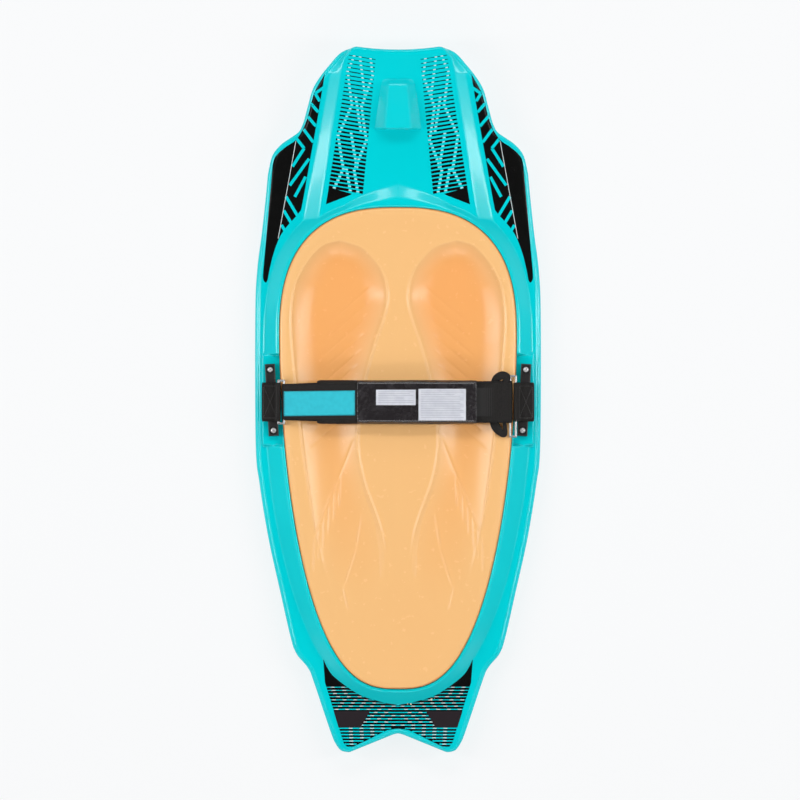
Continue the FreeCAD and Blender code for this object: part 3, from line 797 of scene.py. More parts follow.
def between(low_edge, high_edge, y_start, y_end, step=2.0):
    """A grid between two edges, each a list of (y, x) places."""
    count = max(3, int(abs(y_end - y_start) / step))
    y = np.linspace(y_start, y_end, count)
    inner = np.interp(y, *zip(*sorted(low_edge)))
    outer = np.interp(y, *zip(*sorted(high_edge)))
    columns = max(3, int(np.max(np.abs(outer - inner)) / step))
    shares = np.linspace(0.0, 1.0, columns)
    x = inner[:, None] + (outer - inner)[:, None] * shares
    return np.stack([x, np.repeat(y[:, None], columns, axis=1)], axis=-1)


def both_sides(patches):
    """The same patches on the right and on the left of the board."""
    return patches + [patch[::-1] * (-1.0, 1.0) for patch in patches]


WING_OUTER = [
    (572, 128.4), (541.6, 145.6), (522, 152), (496, 159), (472.8, 168.5), (455.7, 181),
    (445, 197), (432, 212), (417, 219.5), (375.5, 223.9), (324.5, 228.6), (262, 234), (222, 237.5),
    (212, 237), (207, 234),
]
WING_INNER = [
    (572, 128.4), (500, 140.5), (420, 155), (345, 168.5), (330, 174), (305, 196), (285, 209),
    (255, 220), (228, 226.5), (212, 229.5), (207, 232),
]
WING_OUTER = [tuple(place) for place in spline_points(WING_OUTER, 8)]
WING_INNER = [tuple(place) for place in spline_points(WING_INNER, 8)]
WING_BARS = [
    ((125.6, 551.4), (145.5, 538.0)), ((145.5, 538.0), (137.4, 524.5)),
    ((153.0, 520.5), (140.0, 505.5)), ((160.0, 499.5), (144.0, 481.0)),
    ((167.5, 478.0), (149.0, 453.0)), ((178.5, 459.5), (165.0, 442.4)),
    ((165.0, 442.4), (185.5, 410.5)), ((156.5, 424.0), (190.4, 377.5)),
    ((162.5, 392.5), (181.5, 357.5)), ((197.0, 358.0), (173.0, 317.5)),
    ((201.0, 333.5), (182.0, 301.5)), ((205.0, 308.0), (192.5, 286.5)),
]


def make_wing_print():
    """Black wing panels, with teal chevron bars and a thin pale line."""
    deck_decal("wing_print", both_sides([between(WING_INNER, WING_OUTER, 571.5, 207.0)]), 0.25, PRINT)
    bars = [strip(start, end, 5.2) for start, end in WING_BARS]
    deck_decal("wing_bars", both_sides(bars), 0.5, TEAL)
    line = strip((179.5, 455.0), (211.0, 284.0), 1.1)
    deck_decal("wing_line", both_sides([line]), 0.55, PALE)


def make_nose_print():
    """Rows of bars that thicken towards the pad, broken by short pale dashes."""
    rows, dashes = [], []
    pitch = 6.95
    tilt = -0.165
    for row in range(34):
        y_outer = 604.0 - pitch * row
        outer = 85.5 + (608.0 - y_outer) * 0.1557
        inner = 38.9 + (608.0 - y_outer) * 0.0975
        share = row / 33.0
        thick = 1.0 + 3.9 * share
        zigzag = abs((row + 4) % 16 - 8) / 8.0
        drift = ((0.11 * row) % 1.0) / 3.0
        cuts = sorted([0.05 + 0.3 * zigzag, 0.42 + drift, 0.68 + 0.27 * (1.0 - zigzag)])
        gap = 0.045
        edges = [0.0]
        for cut in cuts:
            edges += [max(cut - gap, 0.0), min(cut + gap, 1.0)]
        edges.append(1.0)

        def place(part):
            x = outer + (inner - outer) * part
            return (x, y_outer + tilt * (outer - x))

        for start, end in zip(edges[::2], edges[1::2]):
            if end - start > 0.02:
                rows.append(strip(place(start), place(end), thick))
        for cut in cuts:
            dashes.append(strip(place(cut - 0.045), place(cut + 0.045), 1.4))
    deck_decal("nose_rows", both_sides(rows), 0.25, PRINT)
    deck_decal("nose_dashes", both_sides(dashes), 0.3, PALE)
    outer = [(344, 126.6), (374, 121.7)]
    inner = [(344, 126.6), (362, 79.8), (374, 121.7)]
    deck_decal("nose_corners", both_sides([between(inner, outer, 344.2, 373.7)]), 0.25, PRINT)


TAIL_OUTER = [(-457, 131.5), (-497, 128.6), (-575.5, 104), (-602.4, 96), (-612, 88)]
TAIL_INNER = [(-457, 131.0), (-470, 125), (-486, 113.5), (-506, 87.5), (-521.7, 60.6), (-534, 18)]
TAIL_INNER = [tuple(place) for place in spline_points(TAIL_INNER, 12)]


def tail_inner(y):
    """Inner end of a printed row: the ring's foot, the middle, or the notch's margin."""
    if y > -535.0:
        return float(np.interp(y, *zip(*sorted(TAIL_INNER))))
    if y > -577.0:
        return 0.0
    return 16.0 + 2.2 * (-579.0 - y)


def make_tail_print():
    """Black fields crossed by teal stripes and pale dashes, with two plain dark panels."""
    top = between(TAIL_INNER, TAIL_OUTER, -457.2, -534.0, 1.2)
    middle = between([(-534.0, 17.5), (-536.0, 0.0), (-578.0, 0.0)], TAIL_OUTER, -534.0, -578.0, 1.2)
    bottom = between([(-578.0, 0.0), (-580.0, 17.6), (-610.0, 79.0)], TAIL_OUTER, -578.0, -609.5, 1.2)
    deck_decal("tail_fields", both_sides([top, middle, bottom]), 0.25, PRINT)
    stripes, dashes = [], []
    pitch = 5.54
    for row in range(19):
        y = -505.4 - pitch * row
        outer = float(np.interp(y, *zip(*sorted(TAIL_OUTER)))) + 0.3
        inner = tail_inner(y)
        if outer - inner < 5.0:
            continue
        thick = 1.2 + 1.2 * row / 18.0
        stripes.append(strip((outer, y), (max(inner - 0.5, 0.0), y), thick))
        x = inner + 8.0 + 6.3 * (row % 3)
        while x < outer - 5.0:
            dashes.append(strip((x - 3.2, y), (x + 3.2, y), 1.5))
            x += 18.8
    deck_decal("tail_stripes", both_sides(stripes), 0.4, TEAL)
    deck_decal("tail_dashes", both_sides(dashes), 0.5, PALE)
    panel = between([(-547.3, 49.0), (-576.0, 66.0)], [(-547.3, 113.2), (-576.0, 104.5)], -547.3, -576.0)
    deck_decal("tail_panels", both_sides([panel]), 0.6, PRINT_GREY)


# ---------------------------------------------------------------- knee pad

WELL = [
    (102, 280), (130, 272), (153, 250), (169, 223), (179, 200), (185, 159), (185, 116), (178, 31),
    (169, -54), (158, -140), (142, -235), (120, -330), (90, -395), (60, -395), (34, -340), (25, -296),
    (30, -241), (42, -199), (60, -150), (70, -108), (73, -54), (60, 35), (44.5, 95), (30, 138),
    (22, 168), (21, 192), (27, 218), (40, 242), (66, 268), (102, 280),
]
WELL_LINE = spline_points(WELL, 16)
WELL_TREE = tree_of(resample(WELL_LINE, 3000))


def inside_well(x, y):
    """True within the closed line around one well."""
    crossings = np.zeros(x.shape, int)
    for (x0, y0), (x1, y1) in zip(WELL_LINE[:-1], WELL_LINE[1:]):
        if y0 == y1:
            continue
        spans = (y0 > y) != (y1 > y)
        crossings += spans & (x < x0 + (y - y0) * (x1 - x0) / (y1 - y0))
    return crossings % 2 == 1


def well_shape(x, y):
    """Depth of the knee wells and height of the crest around them."""
    x = np.abs(x)
    away = distances(WELL_TREE, x, y)
    inside = inside_well(x, y)
    fade = np.clip((y + 370.0) / 470.0, 0.0, 1.0)
    wall = 56.0
    share = np.clip(away / wall, 0.0, 1.0)
    bowl = np.where(inside, 1.0 - (1.0 - share) ** 2.5, 0.0)
    crest = np.exp(-((np.where(inside, -away, away) - 2.0) / 2.1) ** 2)
    crest = crest * smooth((fade - 0.1) / 0.3) * (1.0 - 0.7 * smooth((y - 215.0) / 40.0))
    return 17.0 * fade * bowl, 1.9 * crest


def groove_lines():
    """Feather-like engraved lines in the right well; the left well mirrors them."""
    lines = []
    for k in range(9):
        y = 196.0 - 27.0 * k
        x = 52.0 + 3.2 * k + (4.0 if k > 4 else 0.0)
        reach = 62.0 + 6.0 * (k % 3)
        lines.append(((x, y), (x + reach, y - 0.87 * reach)))
    for k in range(6):
        x = 78.0 + 9.0 * k
        y = -70.0 - 22.0 * k
        lines.append(((x, y), (x + 24.0, y - 62.0)))
        lines.append(((x + 24.0, y - 62.0), (x + 26.0, y - 120.0)))
    lines += [((62, -160), (42, -215)), ((42, -215), (34, -262)), ((34, -262), (32, -310))]
    lines += [((66, -200), (74, -260)), ((74, -260), (96, -330)), ((96, -330), (88, -368))]
    return lines


def groove_depth(x, y):
    """Depth of the engraved lines, tapering at both ends."""
    x = np.abs(x)
    depth = np.zeros_like(x)
    for start, end in groove_lines():
        start, end = np.array(start, float), np.array(end, float)
        run = end - start
        share = ((x - start[0]) * run[0] + (y - start[1]) * run[1]) / (run @ run)
        near = np.clip(share, 0.0, 1.0)
        away = np.hypot(x - start[0] - near * run[0], y - start[1] - near * run[1])
        taper = np.sqrt(np.clip(4.0 * near * (1.0 - near) + 0.2, 0.0, 1.0))
        side = ((x - start[0]) * run[1] - (y - start[1]) * run[0]) / math.hypot(*run)
        step = 0.55 * smooth((side + 5.0) / 5.0) * smooth((9.0 - side) / 9.0) * (away < 14.0)
        depth = np.maximum(depth, taper * (0.9 * np.exp(-(away / 1.25) ** 2) + 0.35 * step))
    return depth


def pad_surface(x, y, inboard):
    """Top of the pad: rolled rim, level border, wells and engraved lines."""
    crown = 1.2 * smooth(inboard / 14.0) - 1.6 * smooth((inboard - 12.0) / 30.0)
    drop = edge_drop(inboard, PAD_RADIUS)
    ridge = 1.5 * np.exp(-(x / 60.0) ** 2) * smooth((y + 420.0) / 200.0)
    depth, crest = well_shape(x, y)
    top = rocker(y) + PAD_RIM + crown - drop - ridge - depth + crest - groove_depth(x, y)
    return top, depth


def pad_tone_with_well_shade(depth, inboard):
    """0 on the level border, 1 deep in the wells, where the deeper orange is painted shade, 2 at the
    pad's very edge.
    """
    return np.clip(depth / 15.0, 0.0, 1.0) + 1.2 * smooth((4.5 - inboard) / 4.0)


def make_pad():
    """Moulded foam pad: one closed form with its side wall in the tray."""
    edge = egg_outline(PAD_GROW, 4000)
    right = edge[edge[:, 0] > 0.0]
    right = right[np.argsort(right[:, 1])]
    along = lengths_along(right)
    rows = 640
    columns = 290
    places = np.linspace(0.0, along[-1], rows)
    half = np.interp(places, along, right[:, 0])
    y = np.interp(places, along, right[:, 1])
    shares = np.sin(np.linspace(-1.0, 1.0, columns) * math.pi / 2.0 * 0.86)
    shares /= shares[-1]
    x = half[:, None] * shares[None]
    y = np.repeat(y[:, None], columns, axis=1)
    tree = tree_of(resample(edge, 6000))
    inboard = distances(tree, x, y)
    z, depth = pad_surface(x, y, inboard)
    top = np.stack([x, y, z], axis=-1)
    vertices = top.reshape(-1, 3).tolist()
    faces = grid_faces(rows, columns)
    previous = border_of(rows, columns)
    border = top.reshape(-1, 3)[previous]
    tray_gap = 0.4
    for share in (0.35, 1.0):
        first = len(vertices)
        floor = rocker(border[:, 1]) + TRAY_FLOOR + tray_gap
        height = border[:, 2] * (1 - share) + floor * share
        vertices += np.column_stack([border[:, :2], height]).tolist()
        current = list(range(first, first + len(border)))
        faces += wall_faces(previous, current)
        previous = current
    middle = len(vertices)
    vertices.append((0.0, 0.0, TRAY_FLOOR + tray_gap))
    count = len(previous)
    faces += [(previous[j], middle, previous[(j + 1) % count]) for j in range(count)]
    pad = add_mesh("knee_pad_foam", vertices, faces, pad_foam())
    # per-vertex tone: deeper orange in the wells as painted shade, redder at the very edge
    tone_with_well_shade = np.full(len(vertices), 2.0)
    tone_with_well_shade[: rows * columns] = pad_tone_with_well_shade(depth, inboard).ravel()
    pad.data.attributes.new("tone_with_well_shade", "FLOAT", "POINT").data.foreach_set("value", tone_with_well_shade)
    attach(pad, "board", "pad_foam", "knee_pad")


# ---------------------------------------------------------------- screws

SCREW_X = 222.0
SCREW_REACH = 53.5
SCREW_HEAD = 5.15
SCREW_SHANK = 2.5
BAR_TURN = 3.2
CROSS_HALF_WIDTH = 0.85
CROSS_REACH = 3.1


def make_screws(side):
    """Domed pan heads with a cross recess, on plain shanks."""
    vertices, faces = [], []
    turned = math.radians(BAR_TURN) * side
    rings, spokes = 44, 72
    for end in (-1, 1):
        x = side * SCREW_X + end * SCREW_REACH * math.sin(turned)
        y = end * SCREW_REACH * math.cos(turned)
        first = len(vertices)
        head_radius = SCREW_HEAD * np.linspace(0.02, 1.0, rings - 4)
        radius = np.concatenate([head_radius, [SCREW_HEAD, SCREW_SHANK, SCREW_SHANK, 0.1]])
        height = 58.3 - 1.9 * (radius / SCREW_HEAD) ** 2.4
        height[-4:] = (55.4, 55.36, 33.4, 33.3)
        angle = np.linspace(0.0, 2.0 * math.pi, spokes, endpoint=False) + 0.5 * end
        away_x = radius[:, None] * np.cos(angle)
        away_y = radius[:, None] * np.sin(angle)
        rise = np.repeat(height[:, None], spokes, axis=1)
        slots = []
        for across, reach in ((away_x, away_y), (away_y, away_x)):
            narrow = smooth((CROSS_HALF_WIDTH - np.abs(across)) / 0.3)
            slots.append(narrow * smooth((CROSS_REACH - np.abs(reach)) / 0.4))
        rise[:-4] -= 1.5 * np.maximum(*slots)[:-4]
        head = np.stack([x + away_x, y + away_y, rise], axis=-1)
        vertices += head.reshape(-1, 3).tolist()
        faces += grid_faces(rings, spokes, closed_columns=True, first=first)
        faces.append(tuple(first + k for k in range(spokes)))
        last = first + (rings - 1) * spokes
        faces.append(tuple(last + k for k in reversed(range(spokes))))
    name = "left" if side < 0 else "right"
    screws = add_mesh(name + "_pan_screws", vertices, [f[::-1] for f in faces], STEEL)
    attach(screws, "board", "stainless", name + "_anchor_screws")


# ---------------------------------------------------------------- strap

ARCH_X = 27.0
ARCH_Z = -1419.24
TAIL_ARC = 1500.0
WEB_ARC = 1510.5
STRAP_Y = -3.5
WEB_THICKNESS = 2.1
FOLD_RADIUS = 3.1
LEFT_ROD = (-200.0, 71.0)
RIGHT_ROD = (197.0, 68.0)


def arch(x, radius):
    """Height of one of the strap's layers."""
    return ARCH_Z + np.sqrt(radius ** 2 - (np.asarray(x, float) - ARCH_X) ** 2)


def ribbon(name, path, half_widths, thickness, material, middle_y=STRAP_Y, crown=0.0,
           rib=(0.0, 1.0), closed=False, roundness=0.35, skew=0.0):
    """A flat band along a path in the XZ plane, with rounded edges and cross ribs."""
    path = np.asarray(path, float)
    ahead = np.roll(path, -1, 0)
    behind = np.roll(path, 1, 0)
    if not closed:
        ahead[-1] = path[-1]
        behind[0] = path[0]
    tangent = ahead - behind
    tangent /= np.hypot(*tangent.T)[:, None]
    normal = np.stack([-tangent[:, 1], tangent[:, 0]], axis=1)
    along = lengths_along(path)
    half_widths = np.broadcast_to(half_widths, along.shape)
    sides = np.linspace(-1.0, 1.0, 17)
    depth, pitch = rib
    loops = []
    for i, (place, up) in enumerate(zip(path, normal)):
        width = half_widths[i]
        wave = depth * (0.5 + 0.5 * math.cos(2.0 * math.pi * along[i] / pitch))
        ring = []
        for direction in (1, -1):
            for s in sides[::-direction] if direction > 0 else sides[::-1]:
                edge = max(1.0 - abs(s) ** 14, 0.0) ** roundness
                offset = direction * (thickness / 2.0 - wave) * edge + crown * (1.0 - s * s)
                y = middle_y + width * s + skew * along[i]
                ring.append((place[0] + up[0] * offset, y, place[1] + up[1] * offset))
        loops.append(ring)
    loops = np.array(loops)
    if closed:
        faces = grid_faces(len(loops), loops.shape[1], closed_columns=True, closed_rows=True)
        return add_mesh(name, loops.reshape(-1, 3), faces, material)
    return loops_mesh(name, loops, material)


def arc_line(x_start, x_end, radius, count):
    x = np.linspace(x_start, x_end, count)
    return np.column_stack([x, arch(x, radius)])


def turn(centre, radius, start, end, count=16):
    """Places round a circle, angles in degrees."""
    angle = np.radians(np.linspace(start, end, count))
    return np.column_stack([centre[0] + radius * np.cos(angle), centre[1] + radius * np.sin(angle)])


def even_path(points, step, closed=False):
    points = np.asarray(points, float)
    if closed:
        points = np.vstack([points, points[:1]])
    along = lengths_along(points)
    count = int(along[-1] / step)
    places = np.linspace(0.0, along[-1], count, endpoint=not closed)
    return np.column_stack([np.interp(places, along, points[:, i]) for i in (0, 1)])


def thread_run(points, pitch=3.6, lift=0.35):
    """Short raised stitches along a line of (x, y, z) places."""
    points = np.asarray(points, float)
    along = np.concatenate([[0.0], np.cumsum(np.linalg.norm(np.diff(points, axis=0), axis=1))])
    stitches = []
    place = pitch * 0.3
    while place + pitch * 0.7 < along[-1]:
        ends = []
        for at in (place, place + pitch * 0.68):
            ends.append([np.interp(at, along, points[:, i]) for i in range(3)])
        stitches.append((np.array(ends[0]), np.array(ends[1])))
        place += pitch
    return stitches


# share of the way along a stitch, its relative thickness and its rise there
STITCH_STATIONS = (
    (0.0, 0.15, -0.7), (0.15, 0.9, 0.0), (0.5, 1.0, 0.25), (0.85, 0.9, 0.0), (1.0, 0.15, -0.7),
)


def stitch_mesh(name, stitches, radius, material, body, slot="webbing"):
    """All the stitches of one piece as small rounded rods."""
    vertices, faces = [], []
    sides = 6
    for start, end in stitches:
        run = (end - start) / np.linalg.norm(end - start)
        side = np.cross(run, (0.0, 0.0, 1.0))
        side /= np.linalg.norm(side)
        up = np.cross(side, run)
        first = len(vertices)
        for share, scale, rise in STITCH_STATIONS:
            centre = start + (end - start) * share + up * rise * radius
            for k in range(sides):
                angle = 2.0 * math.pi * k / sides
                offset = side * math.cos(angle) + up * math.sin(angle)
                vertices.append(centre + offset * radius * scale)
        faces += grid_faces(len(STITCH_STATIONS), sides, closed_columns=True, first=first)
    obj = add_mesh(name, vertices, faces, material)
    return attach(obj, body, slot)


def anchor_band_path(ring_x, ring_z):
    """Loop of webbing round the bar and the ring, for the right-hand side."""
    bar_z = 55.75
    outer_x = 240.0 - 5.25
    top = 4.15
    points = [turn((ring_x, ring_z), FOLD_RADIUS, 35.0, 235.0, 18)]
    points.append([(213.5, bar_z - top - 0.2)])
    points.append([(outer_x, bar_z - top)])
    points.append(turn((outer_x, bar_z), top, -80.0, 80.0, 12))
    points.append([(outer_x, bar_z + top)])
    points.append([(216.5, bar_z + top + 1.4)])
    return np.vstack(points)


def make_band(side, ring_x, ring_z, name):
    """Webbing band round a bar and a ring, sewn with a crossed box."""
    path = even_path(anchor_band_path(ring_x, ring_z), 0.55, closed=True)
    for _ in range(3):
        path = soften(path, 4)
    if side < 0:
        path = path[::-1] * (-1.0, 1.0)
    band = ribbon(name + "_band_webbing", path, 34.3, WEB_THICKNESS, WEBBING, closed=True,
                  rib=(0.45, 2.9))
    attach(band, "board", "webbing", name + "_anchor_band")
    stitches = []
    top = path[path[:, 1] > 58.5]
    top = top[np.argsort(top[:, 0])]

    def on_top(x, y):
        return (x, y, float(np.interp(x, top[:, 0], top[:, 1])) + 1.2)

    near, far = side * 213.0, side * 236.5
    box_y = (STRAP_Y - 28.0, STRAP_Y + 28.0)
    corners = [(near, box_y[0]), (far, box_y[0]), (far, box_y[1]), (near, box_y[1])]
    runs = list(zip(corners, corners[1:] + corners[:1]))
    runs += [(corners[0], corners[2]), (corners[1], corners[3])]
    for start, end in runs:
        line = [on_top(start[0] + (end[0] - start[0]) * t, start[1] + (end[1] - start[1]) * t)
                for t in np.linspace(0.0, 1.0, 30)]
        stitches += thread_run(line, 3.0)
    stitch_mesh(name + "_band_stitches", stitches, 0.6, THREAD, "board")


def make_strap():
    """Webbing, padded sleeve, label, vinyl patch, blank panels and their stitching."""
    start = turn(LEFT_ROD, FOLD_RADIUS, 265.0, 96.0, 26)
    web_x = np.linspace(-198.5, 133.0, 300)
    path = np.vstack([start, np.column_stack([web_x, arch(web_x, WEB_ARC)])])
    half = np.interp(path[:, 0], [-204.0, -196.0, -141.0, -136.0, 135.0],
                     [31.5, 31.8, 34.0, 34.5, 34.5])
    web = ribbon("strap_web", path, half, WEB_THICKNESS, WEBBING, rib=(0.12, 2.4))
    attach(web, "strap", "webbing", "strap_webbing")

    line = arc_line(-142.0, 136.5, WEB_ARC - 3.6, 260)
    ends = np.clip(np.minimum(line[:, 0] + 142.0, 136.5 - line[:, 0]) / 6.0, 0.0, 1.0)
    half = 36.5 + 1.7 * np.sqrt(ends) + 0.25 * np.sin(line[:, 0] / 23.0)
    pad = ribbon("strap_sleeve", line, half, 6.6, NEOPRENE, crown=0.9, roundness=0.5)
    attach(pad, "strap", "neoprene", "strap_pad")

    label = ribbon(
        "label_patch", arc_line(-200.3, -75.5, WEB_ARC + 1.75, 120), 22.0, 0.8, label_weave(),
        middle_y=-6.6, skew=0.012, roundness=0.2,
    )
    attach(label, "strap", "teal_label", "strap_label")

    make_patch()
    make_panels()
    stitches = []
    for y in (STRAP_Y - 33.3, STRAP_Y + 33.3):
        x = np.linspace(-138.0, -74.0, 60)
        stitches += thread_run(np.column_stack([x, np.full(60, y), arch(x, WEB_ARC + 1.25)]), 3.2)
    for x0 in (-199.0, -76.8):
        y = np.linspace(-26.5, 13.5, 30)
        x = np.full(30, x0)
        stitches += thread_run(np.column_stack([x, y, arch(x, WEB_ARC + 2.3)]), 2.8)
    stitch_mesh("strap_stitches", stitches, 0.4, THREAD, "strap")


# radians per millimetre along x and along y, phase in radians and height in millimetres
# of each family of creases
CREASES = (
    (0.11, 0.31, 0.4, 0.28), (0.23, -0.17, 1.7, 0.2), (-0.31, 0.22, 0.9, 0.16), (0.07, 0.52, 2.2, 0.18),
)
PATCH_LEFT = -71.5
PATCH_RIGHT = 137.5
PATCH_HALF = 37.3
PATCH_LIFT = 1.8


def patch_wrinkle(x, y):
    """Shallow creases of the vinyl, in millimetres."""
    value = np.zeros(np.broadcast(x, y).shape)
    for kx, ky, phase, size in CREASES:
        wander = 1.3 * np.sin(0.05 * x + 0.09 * y)
        value = value + size * np.abs(np.sin(kx * x + ky * y + phase + wander))
    return value


def make_patch():
    """Glossy vinyl patch that wraps the strap's edges and is creased along its top."""
    x = np.linspace(PATCH_LEFT, PATCH_RIGHT, 230)
    y = np.linspace(-PATCH_HALF, PATCH_HALF, 90)
    gx, gy = np.meshgrid(x, y, indexing="ij")
    wander = 0.8 * np.sin(gx / 17.0) + 0.4 * np.sin(gx / 5.3)
    edge = np.abs(gy) / PATCH_HALF
    wrap = 4.5 * np.clip((edge - 0.86) / 0.14, 0.0, 1.0) ** 2
    height = arch(gx, WEB_ARC + PATCH_LIFT) + patch_wrinkle(gx, gy) - wrap
    top = np.stack([gx, STRAP_Y + gy + wander * edge * np.sign(gy) * 0.6, height], axis=-1)
    bottom = top - (0.0, 0.0, 0.6)
    rows, columns = gx.shape
    vertices = np.vstack([top.reshape(-1, 3), bottom.reshape(-1, 3)])
    first = rows * columns
    faces = [face[::-1] for face in grid_faces(rows, columns)]
    faces += grid_faces(rows, columns, first=first)
    border = border_of(rows, columns)
    for a, b in zip(border, border[1:] + border[:1]):
        faces.append((a, b, b + first, a + first))
    patch = add_mesh("vinyl_sheet", vertices, faces, vinyl())
    attach(patch, "strap", "vinyl", "vinyl_patch")

    zigzag = []
    for side in (-1, 1):
        previous = None
        for k, x_place in enumerate(np.arange(-69.0, 134.0, 2.3)):
            y_place = STRAP_Y + side * (31.6 if k % 2 else 34.2)
            z = float(arch(x_place, WEB_ARC + 2.2) + patch_wrinkle(x_place, y_place - STRAP_Y))
            place = np.array([x_place, y_place, z - (0.6 if k % 2 == 0 else 0.0)])
            if previous is not None:
                zigzag.append((previous, place))
            previous = place
    # the zigzag stitching is real; its pale grey colour is a painted highlight standing in for glints on
    # the stitches
    pale_thread_painted_glint = Finish("pale_thread_painted_glint", (0.3, 0.3, 0.31), 0.5).material
    stitch_mesh("patch_zigzag", zigzag, 0.28, pale_thread_painted_glint, "strap", "vinyl")


PANELS = ((-38.5, 31.0, -9.0, 18.0), (36.0, 119.0, -36.0, 19.5))


def on_patch(x, y, lift):
    """Height of the creased patch, raised by lift."""
    return arch(x, WEB_ARC + PATCH_LIFT + lift) + patch_wrinkle(x, y - STRAP_Y)


def patch_film(name, boxes, lift, material, step):
    """Thin flat films that follow the creased patch."""
    vertices, faces = [], []
    for x0, x1, y0, y1 in boxes:
        rows = max(2, int((x1 - x0) / step) + 1)
        columns = max(2, int((y1 - y0) / step) + 1)
        gx, gy = np.meshgrid(np.linspace(x0, x1, rows), np.linspace(y0, y1, columns), indexing="ij")
        grid = np.stack([gx, gy, on_patch(gx, gy, lift)], axis=-1)
        faces += [face[::-1] for face in grid_faces(rows, columns, first=len(vertices))]
        vertices += grid.reshape(-1, 3).tolist()
    return add_mesh(name, vertices, faces, material)


def make_panels():
    """Two blank white panels with plain grey rules in place of printed text."""
    films = patch_film("blank_panels", PANELS, 0.25, white_panel(), 1.5)
    attach(films, "strap", "white_print", "info_panels")
    rng = random.Random(4)
    rules = []
    for x0, x1, y0, y1 in PANELS:
        y = y1 - 4.0
        while y > y0 + 3.0:
            left = x0 + 4.0
            right = x1 - 4.0 - rng.choice((0.0, 0.0, 6.0, 16.0))
            rules.append((left, right, y, y + 0.7))
            y -= 3.1
    lines = patch_film("panel_rules", rules, 0.4, panel_grey(), 1.5)
    attach(lines, "strap", "white_print")


def make_tail():
    """Ribbed webbing from under the strap to the ring, and the pull loop below it."""
    x = np.linspace(62.0, 195.5, 260)
    fold = turn(RIGHT_ROD, FOLD_RADIUS, 84.0, -85.0, 26)
    path = np.vstack([np.column_stack([x, arch(x, TAIL_ARC)]), fold])
    rise = np.interp(x, [62.0, 135.0, 145.0, 175.0, 196.0], [0.0, 0.0, 1.0, 1.6, 0.0])
    path[: len(x), 1] += rise
    web = ribbon("tail_web", even_path(path, 0.5), 36.6, WEB_THICKNESS, WEBBING, rib=(0.42, 3.3))
    attach(web, "tail", "webbing", "right_tail_webbing")
    make_pull_loop()


# plan places, heights and half widths along the pull loop
PULL_LOOP = [
    (169, 30, 69.5, 6.6), (174, 39, 70.8, 7.0), (183, 43.5, 72.2, 7.0), (191.5, 39.5, 72.8, 6.6),
    (187, 29, 71.4, 4.6), (182, 10, 67.6, 4.0), (183, -20, 67.0, 4.0), (188, -47, 67.4, 3.4),
    (187, -61, 68.2, 4.6), (177, -54, 68.0, 7.2), (169.5, -42, 67.6, 7.8), (165.5, -20, 67.0, 5.0),
    (163.5, 8, 67.0, 4.4),
]


def make_pull_loop():
    """Sewn loop of webbing that lies under the tail and shows at both of its edges."""
    marks = np.array(PULL_LOOP + PULL_LOOP[:1], float)
    plan = spline_points(marks[:, :2], 12)
    extra = spline_points(marks[:, 2:], 12)
    plan, extra = soften(plan[:-1], 6), soften(extra[:-1], 6)
    ahead = np.roll(plan, -1, 0) - np.roll(plan, 1, 0)
    ahead /= np.hypot(*ahead.T)[:, None]
    loops = []
    sides = 24
    for place, run, (height, half) in zip(plan, ahead, extra):
        ring = []
        for k in range(sides):
            angle = 2.0 * math.pi * k / sides
            across = squared(math.cos(angle), 0.5)
            up = squared(math.sin(angle), 0.8) * 1.05
            crown = 0.7 * (1.0 - across ** 2)
            x = place[0] + run[1] * across * half
            y = place[1] - run[0] * across * half
            ring.append((x, y, height + up + crown))
        loops.append(ring)
    faces = grid_faces(len(loops), sides, closed_columns=True, closed_rows=True)
    loop = add_mesh("pull_loop_web", np.reshape(loops, (-1, 3)), faces, WEBBING)
    attach(loop, "tail", "webbing", "pull_loop")


# ---------------------------------------------------------------- stage

# name, place and size in metres, and power in watts
SOFTBOXES = (
    ("left_strip", (-2.25, 0.15, 2.3), (0.28, 2.8), 28.0),
    ("right_strip", (2.25, 0.15, 2.3), (0.28, 2.8), 28.0),
    ("front_strip", (0.0, 2.1, 2.95), (2.4, 0.45), 26.0),
    ("rear_strip", (0.0, -2.4, 2.4), (2.0, 0.3), 10.0),
)
FLOOR_LEVEL = -0.6
FLOOR_HALF = 12000.0


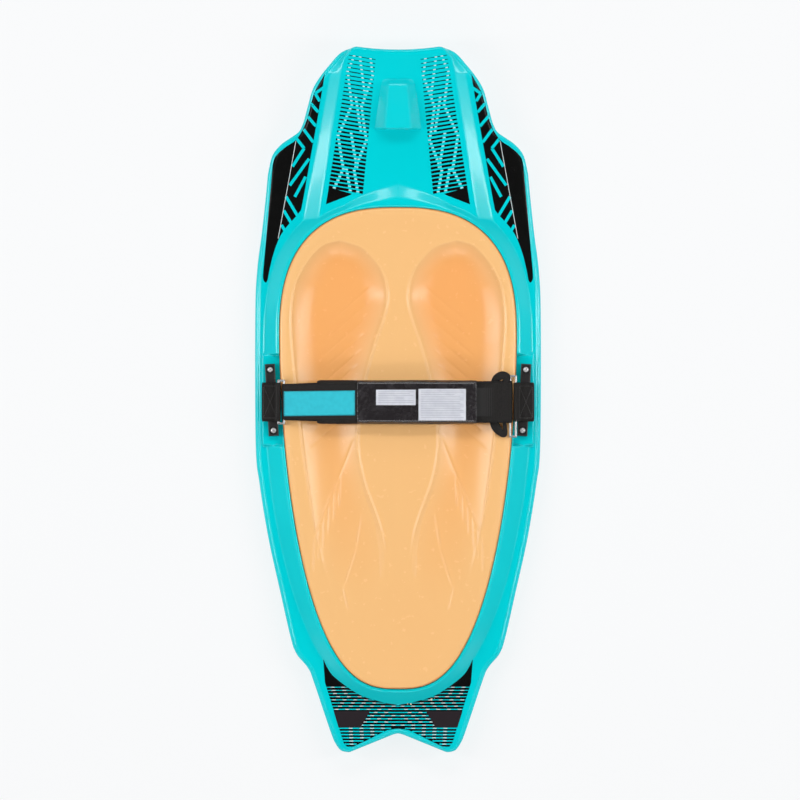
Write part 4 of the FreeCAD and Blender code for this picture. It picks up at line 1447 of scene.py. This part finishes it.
def make_stage():
    """Pale floor, soft overhead light and a camera straight above."""
    world = bpy.data.worlds.new("studio")
    world.use_nodes = True
    background = world.node_tree.nodes["Background"]
    background.inputs["Strength"].default_value = 1.0
    nodes, links = world.node_tree.nodes, world.node_tree.links
    direction = nodes.new("ShaderNodeTexCoord")
    parts = nodes.new("ShaderNodeSeparateXYZ")
    band = nodes.new("ShaderNodeValToRGB")
    points = band.color_ramp.elements
    points[0].color = (0.16, 0.16, 0.16, 1.0)
    points[1].color = (0.0, 0.0, 0.0, 1.0)
    for place, level in ((0.26, 0.15), (0.4, 0.8), (0.7, 0.8), (0.86, 0.01)):
        points.new(place).color = (level, level, level, 1.0)
    links.new(direction.outputs["Generated"], parts.inputs["Vector"])
    links.new(parts.outputs["Z"], band.inputs["Fac"])
    links.new(band.outputs["Color"], background.inputs["Color"])
    bpy.context.scene.world = world
    bpy.context.scene.view_settings.view_transform = "Standard"

    floor_finish = Finish("pale_floor", (0.16, 0.16, 0.16), 0.95)
    floor_finish.shader.inputs["Emission Color"].default_value = (0.98, 0.99, 1.0, 1.0)
    floor_finish.shader.inputs["Emission Strength"].default_value = 0.8
    corners = [(x * FLOOR_HALF, y * FLOOR_HALF, FLOOR_LEVEL)
               for x, y in ((-1, -1), (1, -1), (1, 1), (-1, 1))]
    floor = add_mesh("floor", corners, [(0, 1, 2, 3)], floor_finish.material, flat=True)

    def softbox(name, place, size, energy, target=(0.0, 0.0, 0.05)):
        light = bpy.data.lights.new(name, "AREA")
        light.shape = "RECTANGLE"
        light.size, light.size_y = size
        light.energy = energy
        lamp = bpy.data.objects.new(name, light)
        lamp.location = place
        direction = np.array(target) - np.array(place)
        lamp.rotation_euler = Vector(direction).to_track_quat("-Z", "Y").to_euler()
        bpy.context.scene.collection.objects.link(lamp)

    for name, place, size, energy in SOFTBOXES:
        softbox(name, place, size, energy)

    camera_data = bpy.data.cameras.new("camera")
    distance = 12.0
    view_width = 1.40712
    deck_level = 0.05
    camera_data.sensor_width = 36.0
    camera_data.lens = 36.0 * (distance - deck_level) / view_width
    camera_data.clip_end = 100.0
    camera = bpy.data.objects.new("camera", camera_data)
    camera.location = (0.0035, 0.0, distance)
    bpy.context.scene.collection.objects.link(camera)
    bpy.context.scene.camera = camera


make_stage()
make_deck()
make_hull()
make_core()
make_hook()
make_wing_print()
make_nose_print()
make_tail_print()
make_pad()
make_screws(-1)
make_screws(1)
make_band(-1, 210.0, 71.0, "left")
make_band(1, 207.0, 68.0, "right")
make_strap()
make_tail()
